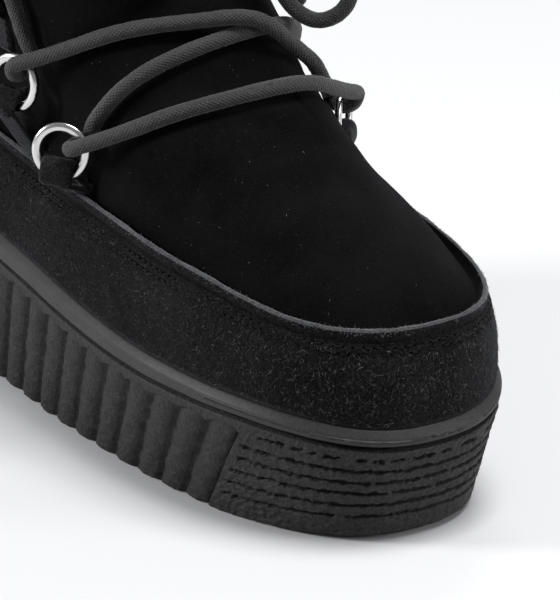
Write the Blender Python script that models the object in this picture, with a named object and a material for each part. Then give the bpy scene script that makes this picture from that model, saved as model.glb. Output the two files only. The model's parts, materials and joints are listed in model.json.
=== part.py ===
"""Winter boot, right foot, about EU 38: suede upper on a fluted platform sole, round lace through side rings.

Sizes are worked out in millimetres in the last's own frame: s runs from the toe tip (0) to the heel,
x is positive towards the inner side of the foot, z is up from the floor. place() turns that into the
scene's frame in metres: toe towards -Y, inner side towards +X, origin under the middle of the boot.
"""

import math

import bpy
import numpy as np
from mathutils import Vector
from mathutils.bvhtree import BVHTree

for old in list(bpy.data.objects):
    bpy.data.objects.remove(old, do_unlink=True)

# ---------------------------------------------------------------- driving sizes, mm
LENGTH = 270.0        # sole band, toe tip to heel
CENTRE_X = -0.77      # middle of the boot's width, measured from the last's axis
CENTRE_S = 135.0      # middle of its length
WALL = 3.0            # suede and warm lining together
GAP = 0.3             # clearance between pieces that touch
TOE_BIAS = -1.2       # sideways lean of the toe tip
DRAFT = 9.3           # how far the sole's wall leans in from lip to floor, at the toe
DRAFT_LOSS = 3.8      # the draft is this much less 100 mm further back
FLUTE_DEPTH = 1.7
FLUTE_SLANT = 15.5    # the ribs lean this far back between lip and floor
FLUTES = 19           # ribs on each side
BUMPER_ARC = 58.0     # plain toe bumper, from the toe tip along the lip to the first rib
LIP_INSET = 0.1
TOE_SPRING = 2.2
TREAD_DEPTH = 3.0
BAND_NECK = 2.6       # depth of the dark groove under the sole band
AROUND = 29           # steps round one side of the upper
VAMP_SHARES = (0.04, 0.1, 0.18, 0.27, 0.36, 0.46, 0.56, 0.66, 0.77, 0.88, 1.0)
RAND_FOOT = 1.2       # the suede stands this far in from the sole band's edge
INSOLE = 4.6
LACE_D = 5.0
TAB_T = 1.1
KNOT_Z = 166.0
KNOT = (6.4, 4.6, 5.4)  # half sizes
ARCH_FROM, ARCH_TO, ARCH_RISE, ARCH_HALF = 134.0, 184.0, 2.4, 25.0
TREAD_ROWS = ((40.0, 2.4), (54.0, 2.4), (68.0, 2.4), (96.0, 2.4), (110.0, 2.4), (124.0, 2.4), (192.0, 2.4), (206.0, 2.4), (242.0, 2.4))
RING_R = 7.8          # ring, centre of the wire
RING_WIRE = 1.3       # wire radius
COLLAR_Z = 198.0

# one row for each side of the sole band: widest half width and its station, toe curve powers,
# waist half width and station, heel half width and station
SIDE_COLUMNS = ("ball", "ball_s", "toe_p", "toe_q", "waist", "waist_s", "heel", "heel_s")
SIDES = {
    -1: dict(zip(SIDE_COLUMNS, (49.7, 99.7, 2.17, 2.23, 43.2, 230.0, 40.0, 246.0))),
    +1: dict(zip(SIDE_COLUMNS, (50.9, 81.2, 2.53, 2.36, 39.6, 176.0, 36.5, 234.0))),
}

# heights along the length: station, top of the outsole's lip, height of the band above it
LEVEL_ROWS = (
    # s     lip    band
    (0.0, 30.5, 6.4),
    (10.0, 31.9, 6.6),
    (21.0, 33.2, 6.8),
    (38.0, 34.6, 7.1),
    (60.0, 35.3, 7.6),
    (86.0, 35.9, 8.3),
    (112.0, 37.2, 8.8),
    (138.0, 39.3, 9.2),
    (165.0, 41.8, 9.4),
    (200.0, 44.2, 9.4),
    (235.0, 45.4, 9.4),
    (270.0, 46.0, 9.4),
)

# the raised seam round the foot: station, height outer side, height inner side, inset from the band
SEAM_ROWS = (
    # s     outer  inner  inset
    (0.0, 66.2, 66.2, 3.6),
    (12.0, 66.5, 66.0, 3.8),
    (24.0, 67.5, 66.0, 4.2),
    (40.0, 70.2, 67.2, 4.7),
    (60.0, 73.4, 69.4, 5.0),
    (80.0, 75.2, 71.8, 5.0),
    (100.0, 77.1, 74.4, 5.0),
    (120.0, 78.4, 76.6, 5.0),
    (150.0, 79.6, 78.8, 5.0),
    (200.0, 82.3, 82.0, 5.0),
    (270.0, 84.0, 84.0, 4.6),
)

# the upper above the seam, one row for each loop round the foot: front and back point, half width to
# the outer and inner side, station of the widest place, sideways shift of the front, curve powers
LOOP_COLUMNS = ("front_s", "front_z", "back_s", "back_z", "outer", "inner", "wide_s", "crown_x", "nose", "tail")
LOOPS = (
    (6.6, 64.2, 262.4, 82.0, 41.7, 42.9, 92.0, -1.0, 2.25, 2.3),
    (15.5, 72.0, 263.6, 91.0, 41.2, 40.2, 104.0, -0.8, 2.0, 2.3),
    (36.5, 82.0, 264.2, 100.0, 40.0, 37.0, 124.0, -0.6, 1.95, 2.3),
    (60.5, 93.2, 263.4, 108.5, 39.2, 36.4, 143.0, 0.2, 1.98, 2.3),
    (85.0, 106.0, 261.6, 117.5, 38.8, 37.4, 160.0, 2.2, 2.05, 2.25),
    (108.5, 118.5, 259.4, 127.5, 38.8, 38.0, 176.0, 4.2, 2.1, 2.2),
    (126.0, 132.5, 257.8, 139.0, 39.2, 39.2, 188.0, 4.6, 2.1, 2.15),
    (136.5, 150.0, 257.4, 153.0, 40.2, 40.2, 196.0, 3.6, 2.1, 2.1),
    (141.0, 168.0, 258.6, 168.0, 41.6, 41.6, 199.0, 2.3, 2.1, 2.1),
    (142.5, 184.0, 260.6, 183.0, 43.0, 43.0, 201.0, 1.2, 2.1, 2.1),
    (142.0, COLLAR_Z, 262.6, COLLAR_Z - 3.0, 44.2, 44.2, 202.0, 0.0, 2.1, 2.1),
)

# side rings, a row for each ring: station, height, stand-off of its centre from the upper, turn
# forward and lean inward in degrees, place of the suede tab and of the lace round the ring (degrees
# from straight up, towards the toe), height of the tab's foot (0: on the seam), half width of the tab
RING_COLUMNS = ("s", "z", "off", "turn", "lean", "tab_at", "lace_at", "foot", "tab_half")
RINGS = {
    ("front", -1): dict(zip(RING_COLUMNS, (131.8, 88.3, 10.9, 45.0, 2.0, 188.0, 66.0, 81.0, 6.2))),
    ("front", +1): dict(zip(RING_COLUMNS, (120.5, 90.0, 10.4, 44.0, 0.0, 184.0, 8.0, 82.6, 5.6))),
    ("middle", -1): dict(zip(RING_COLUMNS, (164.0, 107.5, 9.8, 24.0, 2.0, 195.0, 28.0, 0.0, 5.2))),
    ("middle", +1): dict(zip(RING_COLUMNS, (157.0, 103.5, 10.4, 26.0, 0.0, 190.0, 24.0, 0.0, 5.2))),
    ("ankle", -1): dict(zip(RING_COLUMNS, (188.0, 142.0, 8.4, 8.0, 0.0, 190.0, 95.0, 122.0, 4.4))),
    ("ankle", +1): dict(zip(RING_COLUMNS, (186.0, 141.0, 8.4, 8.0, 0.0, 190.0, 95.0, 121.0, 4.4))),
}

# strands of the lace over the instep, outer side to inner side: angle round the foot from straight up
# about a point STRAND_Z high, and station
STRAND_Z = 85.0
STRAND_COLUMNS = ("angle", "s")
STRANDS = {
    "bar": ((-72, 117.0), (-62, 105.0), (-50, 99.6), (-36, 97.4), (-18, 95.4), (0, 94.9), (18, 95.6), (34, 97.8), (50, 102.0), (64, 109.0)),
    "low": ((-68, 126.0), (-58, 123.6), (-48, 121.0), (-36, 118.6), (-22, 116.6), (-8, 114.9), (5, 114.3), (18, 116.0), (34, 124.0), (48, 136.0), (60, 147.0)),
    "high": ((-62, 158.0), (-50, 149.5), (-40, 140.5), (-30, 132.5), (-19, 126.0), (-7, 121.2), (6, 117.4), (18, 114.8), (32, 112.6), (46, 112.0), (60, 113.5), (70, 116.5)),
}

# loops and ends of the bow, as steps from the knot: sideways, along, up
BOW = {
    "bow_loop_inner": (
        (6.2, -5.2, -2.4), (13.0, -10.5, -11.0), (18.5, -14.5, -23.0), (23.5, -18.5, -34.0), (29.0, -24.0, -38.5),
        (34.5, -29.0, -36.0), (37.5, -31.5, -29.0), (36.0, -29.5, -20.0), (28.0, -23.0, -9.0), (17.0, -14.0, -0.5), (8.2, -6.2, 3.6),
    ),
    "bow_loop_outer": (
        (-7.2, -5.4, -2.0), (-15.6, -5.2, -2.9), (-23.8, -0.9, -6.2), (-31.2, 5.9, -11.2), (-37.6, 13.4, -15.3), (-42.8, 21.4, -16.2),
        (-45.4, 27.8, -11.9), (-46.0, 30.0, -3.2), (-43.9, 26.6, 5.4), (-39.2, 19.2, 10.0), (-32.4, 10.4, 11.0), (-24.8, 2.4, 9.8),
        (-16.6, -3.0, 7.6), (-8.2, -5.0, 5.8),
    ),
    "lace_end_inner": ((2.6, -4.6, -7.6), (9.0, -4.6, -16.5), (17.5, -7.0, -25.5), (26.0, -10.0, -32.5), (33.0, -12.0, -36.0)),
    "lace_end_outer": ((-3.4, -4.4, -7.6), (-9.0, -6.0, -13.0), (-17.0, -6.4, -18.0), (-26.0, -3.4, -21.5), (-34.0, 3.6, -23.5), (-41.0, 12.0, -24.5)),
}

# ---------------------------------------------------------------- small mathematics
def smooth_rows(x, xs, ys):
    """A smooth curve through table rows that never overshoots them (monotone cubic)."""
    xs, ys = np.asarray(xs, float), np.asarray(ys, float)
    h, d = np.diff(xs), np.diff(ys) / np.diff(xs)
    m = np.zeros(len(xs))
    m[0], m[-1] = d[0], d[-1]
    for i in range(1, len(xs) - 1):
        if d[i - 1] * d[i] > 0:
            w1, w2 = 2 * h[i] + h[i - 1], h[i] + 2 * h[i - 1]
            m[i] = (w1 + w2) / (w1 / d[i - 1] + w2 / d[i])
    x = np.clip(np.asarray(x, float), xs[0], xs[-1])
    i = np.clip(np.searchsorted(xs, x, side="right") - 1, 0, len(xs) - 2)
    t = (x - xs[i]) / h[i]
    return (
        ys[i] * (1 + 2 * t) * (1 - t) ** 2
        + m[i] * h[i] * t * (1 - t) ** 2
        + ys[i + 1] * t * t * (3 - 2 * t)
        + m[i + 1] * h[i] * t * t * (t - 1)
    )


def column(rows, i):
    return [r[i] for r in rows]


def ease(t):
    t = np.clip(t, 0.0, 1.0)
    return t * t * (3 - 2 * t)


def lip_z(s):
    return smooth_rows(s, column(LEVEL_ROWS, 0), column(LEVEL_ROWS, 1))


def band_top_z(s):
    return lip_z(s) + smooth_rows(s, column(LEVEL_ROWS, 0), column(LEVEL_ROWS, 2))


def seam_z(side, s):
    return smooth_rows(s, column(SEAM_ROWS, 0), column(SEAM_ROWS, 1 if side < 0 else 2))


def seam_inset(s):
    return smooth_rows(s, column(SEAM_ROWS, 0), column(SEAM_ROWS, 3))


def floor_z(s):
    """Underside of the sole: flat, with toe spring and a slightly bevelled heel."""
    return TOE_SPRING * np.clip(1 - s / 58.0, 0, 1) ** 2 + 1.2 * np.clip((s - 246.0) / 24.0, 0, 1) ** 2


# ---------------------------------------------------------------- the sole's outline
def half_width(side, s):
    k = SIDES[side]
    s = np.asarray(s, float)
    toe = k["ball"] * (1 - np.clip(1 - s / k["ball_s"], 0, 1) ** k["toe_p"]) ** (1 / k["toe_q"])
    waist = k["ball"] + (k["waist"] - k["ball"]) * ease((s - k["ball_s"]) / (k["waist_s"] - k["ball_s"]))
    heel = k["waist"] + (k["heel"] - k["waist"]) * ease((s - k["waist_s"]) / (k["heel_s"] - k["waist_s"]))
    end = k["heel"] * np.clip(1 - np.clip((s - k["heel_s"]) / (LENGTH - k["heel_s"]), 0, 1) ** 2.2, 0, 1) ** (1 / 2.2)
    return np.where(s < k["ball_s"], toe, np.where(s < k["waist_s"], waist, np.where(s < k["heel_s"], heel, end)))


def edge(side, n=900):
    """The band's outline on one side, toe tip to heel, as dense points (x, s)."""
    t = np.linspace(0, 1, n)
    s = LENGTH * (0.5 - 0.5 * np.cos(math.pi * t)) ** 1.0
    s[0], s[-1] = 0.0, LENGTH
    lean = TOE_BIAS * np.clip(1 - s / 110.0, 0, 1) ** 1.6
    return np.stack([lean + side * half_width(side, s), s], axis=1)


def outline(inset=0.0, n=900):
    """The whole outline moved in by a distance: both sides as (x, s), toe tip to heel each."""
    a, b = edge(-1, n), edge(+1, n)
    ring = np.concatenate([a, b[-2:0:-1]])
    step = np.roll(ring, -1, axis=0) - np.roll(ring, 1, axis=0)
    step /= np.linalg.norm(step, axis=1, keepdims=True)
    inward = np.stack([step[:, 1], -step[:, 0]], axis=1)  # the ring runs toe, outer side, heel, inner side
    d = np.broadcast_to(inset(ring[:, 1]) if callable(inset) else float(inset), len(ring))
    ring = ring + inward * d[:, None]
    return ring[:n], np.concatenate([ring[:1], ring[n:][::-1], ring[n - 1 : n]])


def by_arc(line, where):
    """Points of a line at the given distances along it (distance counts from its start)."""
    run = np.concatenate([[0.0], np.cumsum(np.linalg.norm(np.diff(line, axis=0), axis=1))])
    return np.stack([np.interp(where, run, line[:, k]) for k in range(line.shape[1])], axis=1)


def arc_length(line):
    return float(np.linalg.norm(np.diff(line, axis=0), axis=1).sum())


# ---------------------------------------------------------------- the upper's surface
def loop_values(w):
    """The loop table's columns at height share w, 0 at the seam and 1 at the collar."""
    rows = np.array(LOOPS, float)
    run = np.concatenate([[0.0], np.cumsum(np.hypot(np.diff(rows[:, 0]), np.diff(rows[:, 1])))])
    return {c: float(smooth_rows(w, run / run[-1], rows[:, i])) for i, c in enumerate(LOOP_COLUMNS)}


def stations(front, back, u):
    return front + (back - front) * (0.5 - 0.5 * np.cos(math.pi * u))


def free_loop(side, w, u):
    """Points (x, s, z) of the loop at height share w; u runs 0 at the front to 1 at the back."""
    k = loop_values(w)
    s = stations(k["front_s"], k["back_s"], u)
    width = k["outer"] if side < 0 else k["inner"]
    nose = (1 - np.clip((k["wide_s"] - s) / (k["wide_s"] - k["front_s"]), 0, 1) ** k["nose"]) ** (1 / k["nose"])
    t = np.clip((s - k["wide_s"]) / (k["back_s"] - k["wide_s"]), 0, 1)
    oval = width * (1 - t ** k["tail"]) ** (1 / k["tail"])
    # low loops keep the foot's own waist and heel, high loops are oval
    share = ease(w / 0.7)
    middle = k["crown_x"] * (1 - ease((s - k["front_s"]) / 70.0))
    foot = foot_width(side, s, k["back_s"]) * (1 - 0.11 * ease(w / 0.22) * ease((220.0 - s) / 60.0))
    half = nose * ((1 - share) * foot + share * oval - side * middle)
    z = k["front_z"] + (k["back_z"] - k["front_z"]) * (s - k["front_s"]) / (k["back_s"] - k["front_s"])
    return np.stack([middle + side * half, s, z], axis=1)


_foot = {}


def foot_width(side, s, back):
    """Half widths of the foot just inside the seam: level in front of the ball, then waist and heel."""
    if side not in _foot:
        line = outline(lambda s: seam_inset(s) + 3.0)[0 if side < 0 else 1]
        x = np.abs(line[:, 0])
        x[: int(np.argmax(x))] = x.max()
        _foot[side] = (line[:, 1], x)
    run, x = _foot[side]
    return np.interp(s, run * back / run[-1], x)


def seam_loop(side, u, inset, drop):
    """A loop that follows the seam: extra inset from it and height below it."""
    line = outline(lambda s: seam_inset(s) + inset)[0 if side < 0 else 1]
    s = stations(line[0, 1], line[-1, 1], u)
    x = np.interp(s, line[:, 1], line[:, 0])
    z = seam_z(side, s) - drop
    both = 0.5 * (seam_z(-1, s) + seam_z(1, s)) - drop  # the two sides meet evenly at toe and heel
    k = np.clip(u / 0.06, 0, 1) * np.clip((1 - u) / 0.06, 0, 1)
    return np.stack([x, s, both + (z - both) * k], axis=1)


def vamp_loop(side, w, u, inset=3.0, drop=2.0):
    """The upper above the seam. It starts just inside the seam and turns into the free loops."""
    start = seam_loop(side, u, inset, drop) - free_loop(side, 0.0, u)
    fade = np.clip(1 - w / 0.36, 0, 1) ** 2
    return free_loop(side, w, u) + fade * start


def rand_loop(side, share, u, bulge=1.3, shift=0.0):
    """The band of suede between sole and seam; share 0 at the sole, 1 at the seam."""
    full = lambda s: RAND_FOOT + (seam_inset(s) - RAND_FOOT) * share - bulge * 4 * share * (1 - share) + shift
    line = outline(full)[0 if side < 0 else 1]
    s = stations(line[0, 1], line[-1, 1], u)
    x = np.interp(s, line[:, 1], line[:, 0])
    low = band_top_z(s) + GAP
    top = seam_loop(side, u, 0.0, 0.0)[:, 2]
    return np.stack([x, s, low + (top - low) * share], axis=1)


def whole(loop, n):
    """Both sides of a loop joined into one closed ring of 2n points: toe, outer side, heel, inner side."""
    u = np.linspace(0, 1, n + 1)
    a, b = loop(-1, u), loop(+1, u)
    a[0] = b[0] = 0.5 * (a[0] + b[0])
    a[-1] = b[-1] = 0.5 * (a[-1] + b[-1])
    return np.concatenate([a, b[-2:0:-1]])


def normals(rings):
    """Outward unit normals of a grid of closed rings, bottom to top."""
    g = np.stack(rings)
    along = np.roll(g, -1, axis=1) - np.roll(g, 1, axis=1)
    up = np.gradient(g, axis=0)
    n = np.cross(up, along)
    n /= np.linalg.norm(n, axis=2, keepdims=True) + 1e-12
    centre = g.mean(axis=1, keepdims=True)
    flip = np.sign(((g - centre) * n)[:, :, :2].sum(axis=2).mean())
    return n * flip


# ---------------------------------------------------------------- making solids
def place(p):
    """Last's frame in mm to the scene's frame in m."""
    p = np.asarray(p, float)
    return np.stack([p[..., 0] - CENTRE_X, p[..., 1] - CENTRE_S, p[..., 2]], axis=-1) * 0.001


def material(name, colour, roughness, metallic=0.0):
    m = bpy.data.materials.get(name)
    if m is None:
        m = bpy.data.materials.new(name)
        m.use_nodes = True
        b = m.node_tree.nodes["Principled BSDF"]
        b.inputs["Base Color"].default_value = (*colour, 1.0)
        b.inputs["Roughness"].default_value = roughness
        b.inputs["Metallic"].default_value = metallic
        m.diffuse_color = (*colour, 1.0)
    return m


def solid(name, points, faces, mat, sharp=40.0):
    """An object from points in mm of the last's frame; its origin is the middle of its box."""
    p = place(points)
    centre = 0.5 * (p.min(axis=0) + p.max(axis=0))
    mesh = bpy.data.meshes.new(name)
    mesh.from_pydata([tuple(v) for v in p - centre], [], [tuple(int(i) for i in f) for f in faces])
    mesh.validate()
    obj = bpy.data.objects.new(name, mesh)
    obj.location = Vector(centre)
    bpy.context.scene.collection.objects.link(obj)
    mesh.materials.append(mat)
    mesh.shade_smooth()
    mesh.set_sharp_from_angle(angle=math.radians(sharp))
    return obj


def skinned(rings, first_cap=None, last_cap=None, joined=False):
    """Quads between successive closed rings of equal count. Caps are "ladder" (rung from side to side),
    or None; joined closes the last ring onto the first, for a wall."""
    n, pts, faces = len(rings[0]), np.concatenate(rings), []
    pairs = [(k, k + 1) for k in range(len(rings) - 1)]
    if joined:
        pairs.append((len(rings) - 1, 0))
    for a, b in pairs:
        for i in range(n):
            j = (i + 1) % n
            faces.append((a * n + i, a * n + j, b * n + j, b * n + i))

    def ladder(base, turned):
        h = n // 2
        for i in range(h):
            a, b = base + i, base + i + 1
            c, d = base + (n - i - 1) % n, base + (n - i) % n
            if i == 0:
                f = (a, b, c)
            elif i == h - 1:
                f = (a, b, d)
            else:
                f = (a, b, c, d)
            faces.append(f if turned else f[::-1])

    if first_cap:
        ladder(0, False)
    if last_cap:
        ladder((len(rings) - 1) * n, True)
    return pts, faces


def outward(points, faces):
    """Turns all faces round if the solid came out inside out."""
    vol = 0.0
    for f in faces:
        for k in range(1, len(f) - 1):
            vol += float(np.dot(points[f[0]], np.cross(points[f[k]], points[f[k + 1]])))
    return faces if vol > 0 else [f[::-1] for f in faces]


def cut(obj, cutter, operation="DIFFERENCE"):
    """Applies a Boolean and leaves the finished mesh on the object."""
    mod = obj.modifiers.new("cut", "BOOLEAN")
    mod.operation, mod.object, mod.solver = operation, cutter, "EXACT"
    cutter.hide_render, cutter.display_type = True, "WIRE"
    bpy.context.view_layer.update()
    graph = bpy.context.evaluated_depsgraph_get()
    mesh = bpy.data.meshes.new_from_object(obj.evaluated_get(graph))
    obj.modifiers.clear()
    obj.data = mesh
    bpy.data.objects.remove(cutter, do_unlink=True)


# ---------------------------------------------------------------- materials
RUBBER = material("sole_rubber", (0.022, 0.022, 0.024), 0.62)
BAND = material("band_rubber", (0.03, 0.03, 0.033), 0.45)
FELT = material("insole_felt", (0.02, 0.02, 0.021), 0.95)
SUEDE = material("suede", (0.013, 0.013, 0.014), 0.92)
TAB_SUEDE = material("tab_suede", (0.018, 0.018, 0.02), 0.95)
STEEL = material("ring_metal", (0.62, 0.61, 0.6), 0.28, 1.0)
CORD = material("waxed_cord", (0.025, 0.025, 0.027), 0.7)


# ---------------------------------------------------------------- outsole
def flute_depth(run, pitch):
    """Depth of the wall's channels at a distance along the lip from the toe tip: rounded ribs with
    narrower channels between them. The toe bumper is plain."""
    wave = 1 - np.abs(np.sin(math.pi * (run - BUMPER_ARC) / pitch)) ** 0.8
    return np.where(run < BUMPER_ARC - 0.01, 0.0, FLUTE_DEPTH * wave)


def wall_side(side, share, grooved, extra, per_flute=4, bumper=9):
    """One side of a ring of the outsole's wall, share 0 at the floor and 1 at the lip. The columns
    follow the ribs, which lean back towards the floor, except near toe tip and heel."""
    total = arc_length(outline(LIP_INSET)[0 if side < 0 else 1])
    pitch = (total - BUMPER_ARC) / FLUTES
    run = np.concatenate(
        [np.linspace(0, BUMPER_ARC, bumper)[:-1], BUMPER_ARC + pitch * np.arange(FLUTES * per_flute + 1) / per_flute]
    )
    depth = flute_depth(run, pitch) if grooved else np.zeros(len(run))
    line = outline(lambda s: LIP_INSET + extra + (DRAFT - DRAFT_LOSS * np.minimum(s, 155.0) / 100.0) * (1 - share))[0 if side < 0 else 1]
    length = arc_length(line)
    lean = FLUTE_SLANT * (1 - share) * ease(run / 50.0) * ease((total - run) / 60.0)
    at = (run + lean) * length / total
    p = by_arc(line, at)
    q = by_arc(line, np.clip(at + 0.5, 0, length)) - by_arc(line, np.clip(at - 0.5, 0, length))
    q /= np.linalg.norm(q, axis=1, keepdims=True)
    inward = np.stack([q[:, 1], -q[:, 0]], axis=1) * (-side)
    p = p + inward * depth[:, None]
    p[0] = line[0]
    return p


def outsole():
    rings = []
    for share, grooved, extra, rise in (
        (0.0, True, 1.2, 0.0),    # edge of the tread
        (0.04, True, 0.0, 1.3),   # top of the small bevel
        (0.5, True, 0.0, None),
        (0.87, True, 0.0, None),  # top of the channels
        (0.93, False, 0.1, None),  # underside of the lip
        (1.0, False, 0.0, None),  # lip
    ):
        a, b = wall_side(-1, share, grooved, extra), wall_side(+1, share, grooved, extra)
        a[0] = b[0] = 0.5 * (a[0] + b[0])
        a[-1] = b[-1] = 0.5 * (a[-1] + b[-1])
        ring = np.concatenate([a, b[-2:0:-1]])
        low, top = floor_z(ring[:, 1]), lip_z(ring[:, 1])
        rings.append(np.column_stack([ring, low + rise if rise is not None else low + (top - low) * share]))
    pts, faces = skinned(rings, True, True)
    sole = solid("outsole", pts, outward(pts, faces), RUBBER)
    for name, cutter in tread_cutters():
        cut(sole, cutter)
    return sole


def tread_cutters():
    """Channels of the tread, all inside a rim, and the shallow arch between forefoot and heel."""
    found = []
    for k, (s, deep) in enumerate(TREAD_ROWS):
        half = float(min(half_width(-1, s), half_width(1, s))) - 19.0
        box = [(x, y, z) for z in (-4.0, deep) for x, y in ((-half, s - 1.8), (half, s - 1.8), (half, s + 1.8), (-half, s + 1.8))]
        found.append((k, slab(f"tread_channel_{k}", box, 4)))
    arch = []
    for s in np.linspace(ARCH_FROM, ARCH_TO, 9):
        rise = ARCH_RISE * math.sin(math.pi * (s - ARCH_FROM) / (ARCH_TO - ARCH_FROM)) ** 0.7
        arch.append((s, rise))
    low = [(x, s, -4.0) for x in (-ARCH_HALF, ARCH_HALF) for s, _ in arch]
    top = [(x, s, max(r, 0.02)) for x in (-ARCH_HALF, ARCH_HALF) for s, r in arch]
    n = len(arch)
    pts, faces = np.array(low + top), []
    for i in range(n - 1):
        faces.append((i, i + 1, n + i + 1, n + i))
        faces.append((2 * n + i, 3 * n + i, 3 * n + i + 1, 2 * n + i + 1))
        faces.append((i, 2 * n + i, 2 * n + i + 1, i + 1))
        faces.append((n + i, n + i + 1, 3 * n + i + 1, 3 * n + i))
    faces.append((0, n, 3 * n, 2 * n))
    faces.append((n - 1, 3 * n - 1, 4 * n - 1, 2 * n - 1))
    found.append(("arch", solid("arch_cutter", pts, outward(pts, faces), RUBBER)))
    return found


def slab(name, pts, n):
    """A prism with n corners: bottom ring, then top ring."""
    faces = [tuple(range(n)), tuple(range(2 * n - 1, n - 1, -1))]
    faces += [(i, n + i, n + (i + 1) % n, (i + 1) % n) for i in range(n)]
    pts = np.array(pts, float)
    return solid(name, pts, outward(pts, faces), RUBBER)


def level_ring(side, u, inset, height, lift=0.0):
    line = outline(inset)[0 if side < 0 else 1]
    s = stations(line[0, 1], line[-1, 1], u)
    return np.stack([np.interp(s, line[:, 1], line[:, 0]), s, height(s) + lift], axis=1)


# ---------------------------------------------------------------- sole band and insole
def sole_band():
    rings = []
    for inset, height, lift in (
        (BAND_NECK, lip_z, GAP),
        (BAND_NECK, lip_z, 1.2),
        (0.3, lip_z, 1.7),
        (-0.5, lip_z, 3.0),
        (-0.5, band_top_z, -2.8),
        (0.1, band_top_z, -1.0),
        (1.6, band_top_z, 0.0),
    ):
        rings.append(whole(lambda side, u: level_ring(side, u, inset, height, lift), 32))
    pts, faces = skinned(rings, True, True)
    return solid("sole_band", pts, outward(pts, faces), BAND)


def insole():
    inset = lambda s: RAND_FOOT + WALL + 1.6
    rings = [
        whole(lambda side, u: level_ring(side, u, inset, band_top_z, GAP), 28),
        whole(lambda side, u: level_ring(side, u, inset, band_top_z, INSOLE - 1.0), 28),
        whole(lambda side, u: level_ring(side, u, lambda s: inset(s) + 1.0, band_top_z, INSOLE), 28),
    ]
    pts, faces = skinned(rings, True, True)
    return solid("insole", pts, outward(pts, faces), FELT)


# ---------------------------------------------------------------- upper
def upper_outer():
    """Rings of the outer surface from the sole band to the collar."""
    rings = [whole(lambda side, u: rand_loop(side, share, u), AROUND) for share in (0.0, 0.3, 0.62, 0.88)]
    rings.append(whole(lambda side, u: seam_loop(side, u, 0.0, 0.0), AROUND))
    rings.append(whole(lambda side, u: seam_loop(side, u, 2.0, -0.2), AROUND))
    rings.append(whole(lambda side, u: seam_loop(side, u, 2.9, 1.9), AROUND))
    for w in VAMP_SHARES:
        rings.append(whole(lambda side, u: vamp_loop(side, w, u), AROUND))
    return rings


def upper():
    outer = upper_outer()
    n = normals(outer)
    inner = [whole(lambda side, u: rand_loop(side, share, u, shift=WALL), AROUND) for share in (0.0, 0.3, 0.62)]
    for k in range(7, len(outer)):
        if k in (7,):
            continue
        inner.append(outer[k] - n[k] * WALL)
    inner[-1][:, 2] = outer[-1][:, 2] - 0.6
    top = outer[-1] - n[-1] * WALL * 0.5
    top[:, 2] = outer[-1][:, 2] + 1.0
    rings = outer + [top] + inner[::-1]
    pts, faces = skinned(rings, joined=True)
    return solid("upper", pts, outward(pts, faces), SUEDE), outer


def skin_of(outer):
    """Search tree of the outer surface, for what lies on it."""
    fine = [whole(lambda side, u: seam_loop(side, u, 2.9, 1.9), 64)]
    fine += [whole(lambda side, u: vamp_loop(side, w, u), 64) for w in np.linspace(0.0, 1.0, 41)]
    pts, faces = skinned(fine)
    return BVHTree.FromPolygons([tuple(p) for p in pts], [tuple(f) for f in faces])


def clear_of(hull, p):
    """How far a point stands outside the upper's own faces (negative inside)."""
    q, m, _, _ = hull.find_nearest(Vector(p))
    return float(np.dot(np.asarray(p) - np.array(q), np.array(m)))


def skin_at(tree, side, s, z):
    """Outer point and outward normal of the upper at a station and height on one side."""
    hit, n, _, _ = tree.ray_cast(Vector((side * 200.0, s, z)), Vector((-side, 0.0, 0.0)))
    n = np.array(n)
    return np.array(hit), (n if n[0] * side > 0 else -n)


# ---------------------------------------------------------------- rings and their tabs
def unit(v):
    v = np.asarray(v, float)
    return v / np.linalg.norm(v)


def ring_frame(tree, pair, side):
    """Centre, forward axis, up axis and outward axis of a ring."""
    k = RINGS[pair, side]
    p, n = skin_at(tree, side, k["s"], k["z"])
    turn, lean = math.radians(k["turn"]), math.radians(k["lean"])
    forward = np.array([-side * math.sin(turn), -math.cos(turn), 0.0])
    inward = np.array([-side * math.cos(turn), math.sin(turn), 0.0])
    up = math.cos(lean) * np.array([0, 0, 1.0]) + math.sin(lean) * inward
    out = np.cross(forward, up)
    if out[0] * side < 0:
        out = -out
    return p + n * k["off"], forward, up, out


def on_ring(frame, degrees):
    """Direction from a ring's centre, in degrees from straight up towards the toe."""
    a = math.radians(degrees)
    return math.cos(a) * frame[2] + math.sin(a) * frame[1]


def ring_piece(name, frame, around=16, across=6):
    c, f, u, o = frame
    rings = []
    for i in range(around):
        r = on_ring(frame, 360.0 * i / around)
        rings.append(
            np.array([c + r * (RING_R + RING_WIRE * math.cos(b)) + o * RING_WIRE * math.sin(b) for b in np.linspace(0, 2 * math.pi, across, endpoint=False)])
        )
    pts, faces = skinned(rings, joined=True)
    return solid(name, pts, outward(pts, faces), STEEL, sharp=70)


def taut_band(feet, radius, rise):
    """Points of a band pulled tight from two feet round a wire at the origin and a second spot above it."""
    turn = np.linspace(0, 2 * math.pi, 12, endpoint=False)
    ring = radius / math.cos(math.pi / 12) * np.stack([np.cos(turn), np.sin(turn)], axis=1)
    p = np.concatenate([feet, ring, ring + (0.0, rise)])
    order = [0]
    while True:  # walk round the outside of all the points
        here, best = p[order[-1]], None
        for i in range(len(p)):
            if i == order[-1]:
                continue
            v = p[i] - here
            if best is None or v[0] * (p[best] - here)[1] - v[1] * (p[best] - here)[0] > 1e-9:
                best = i
        if best == 0:
            break
        order.append(best)
    path = p[order]
    return path if order[-1] == 1 else np.roll(path[::-1], 1, axis=0)


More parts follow.
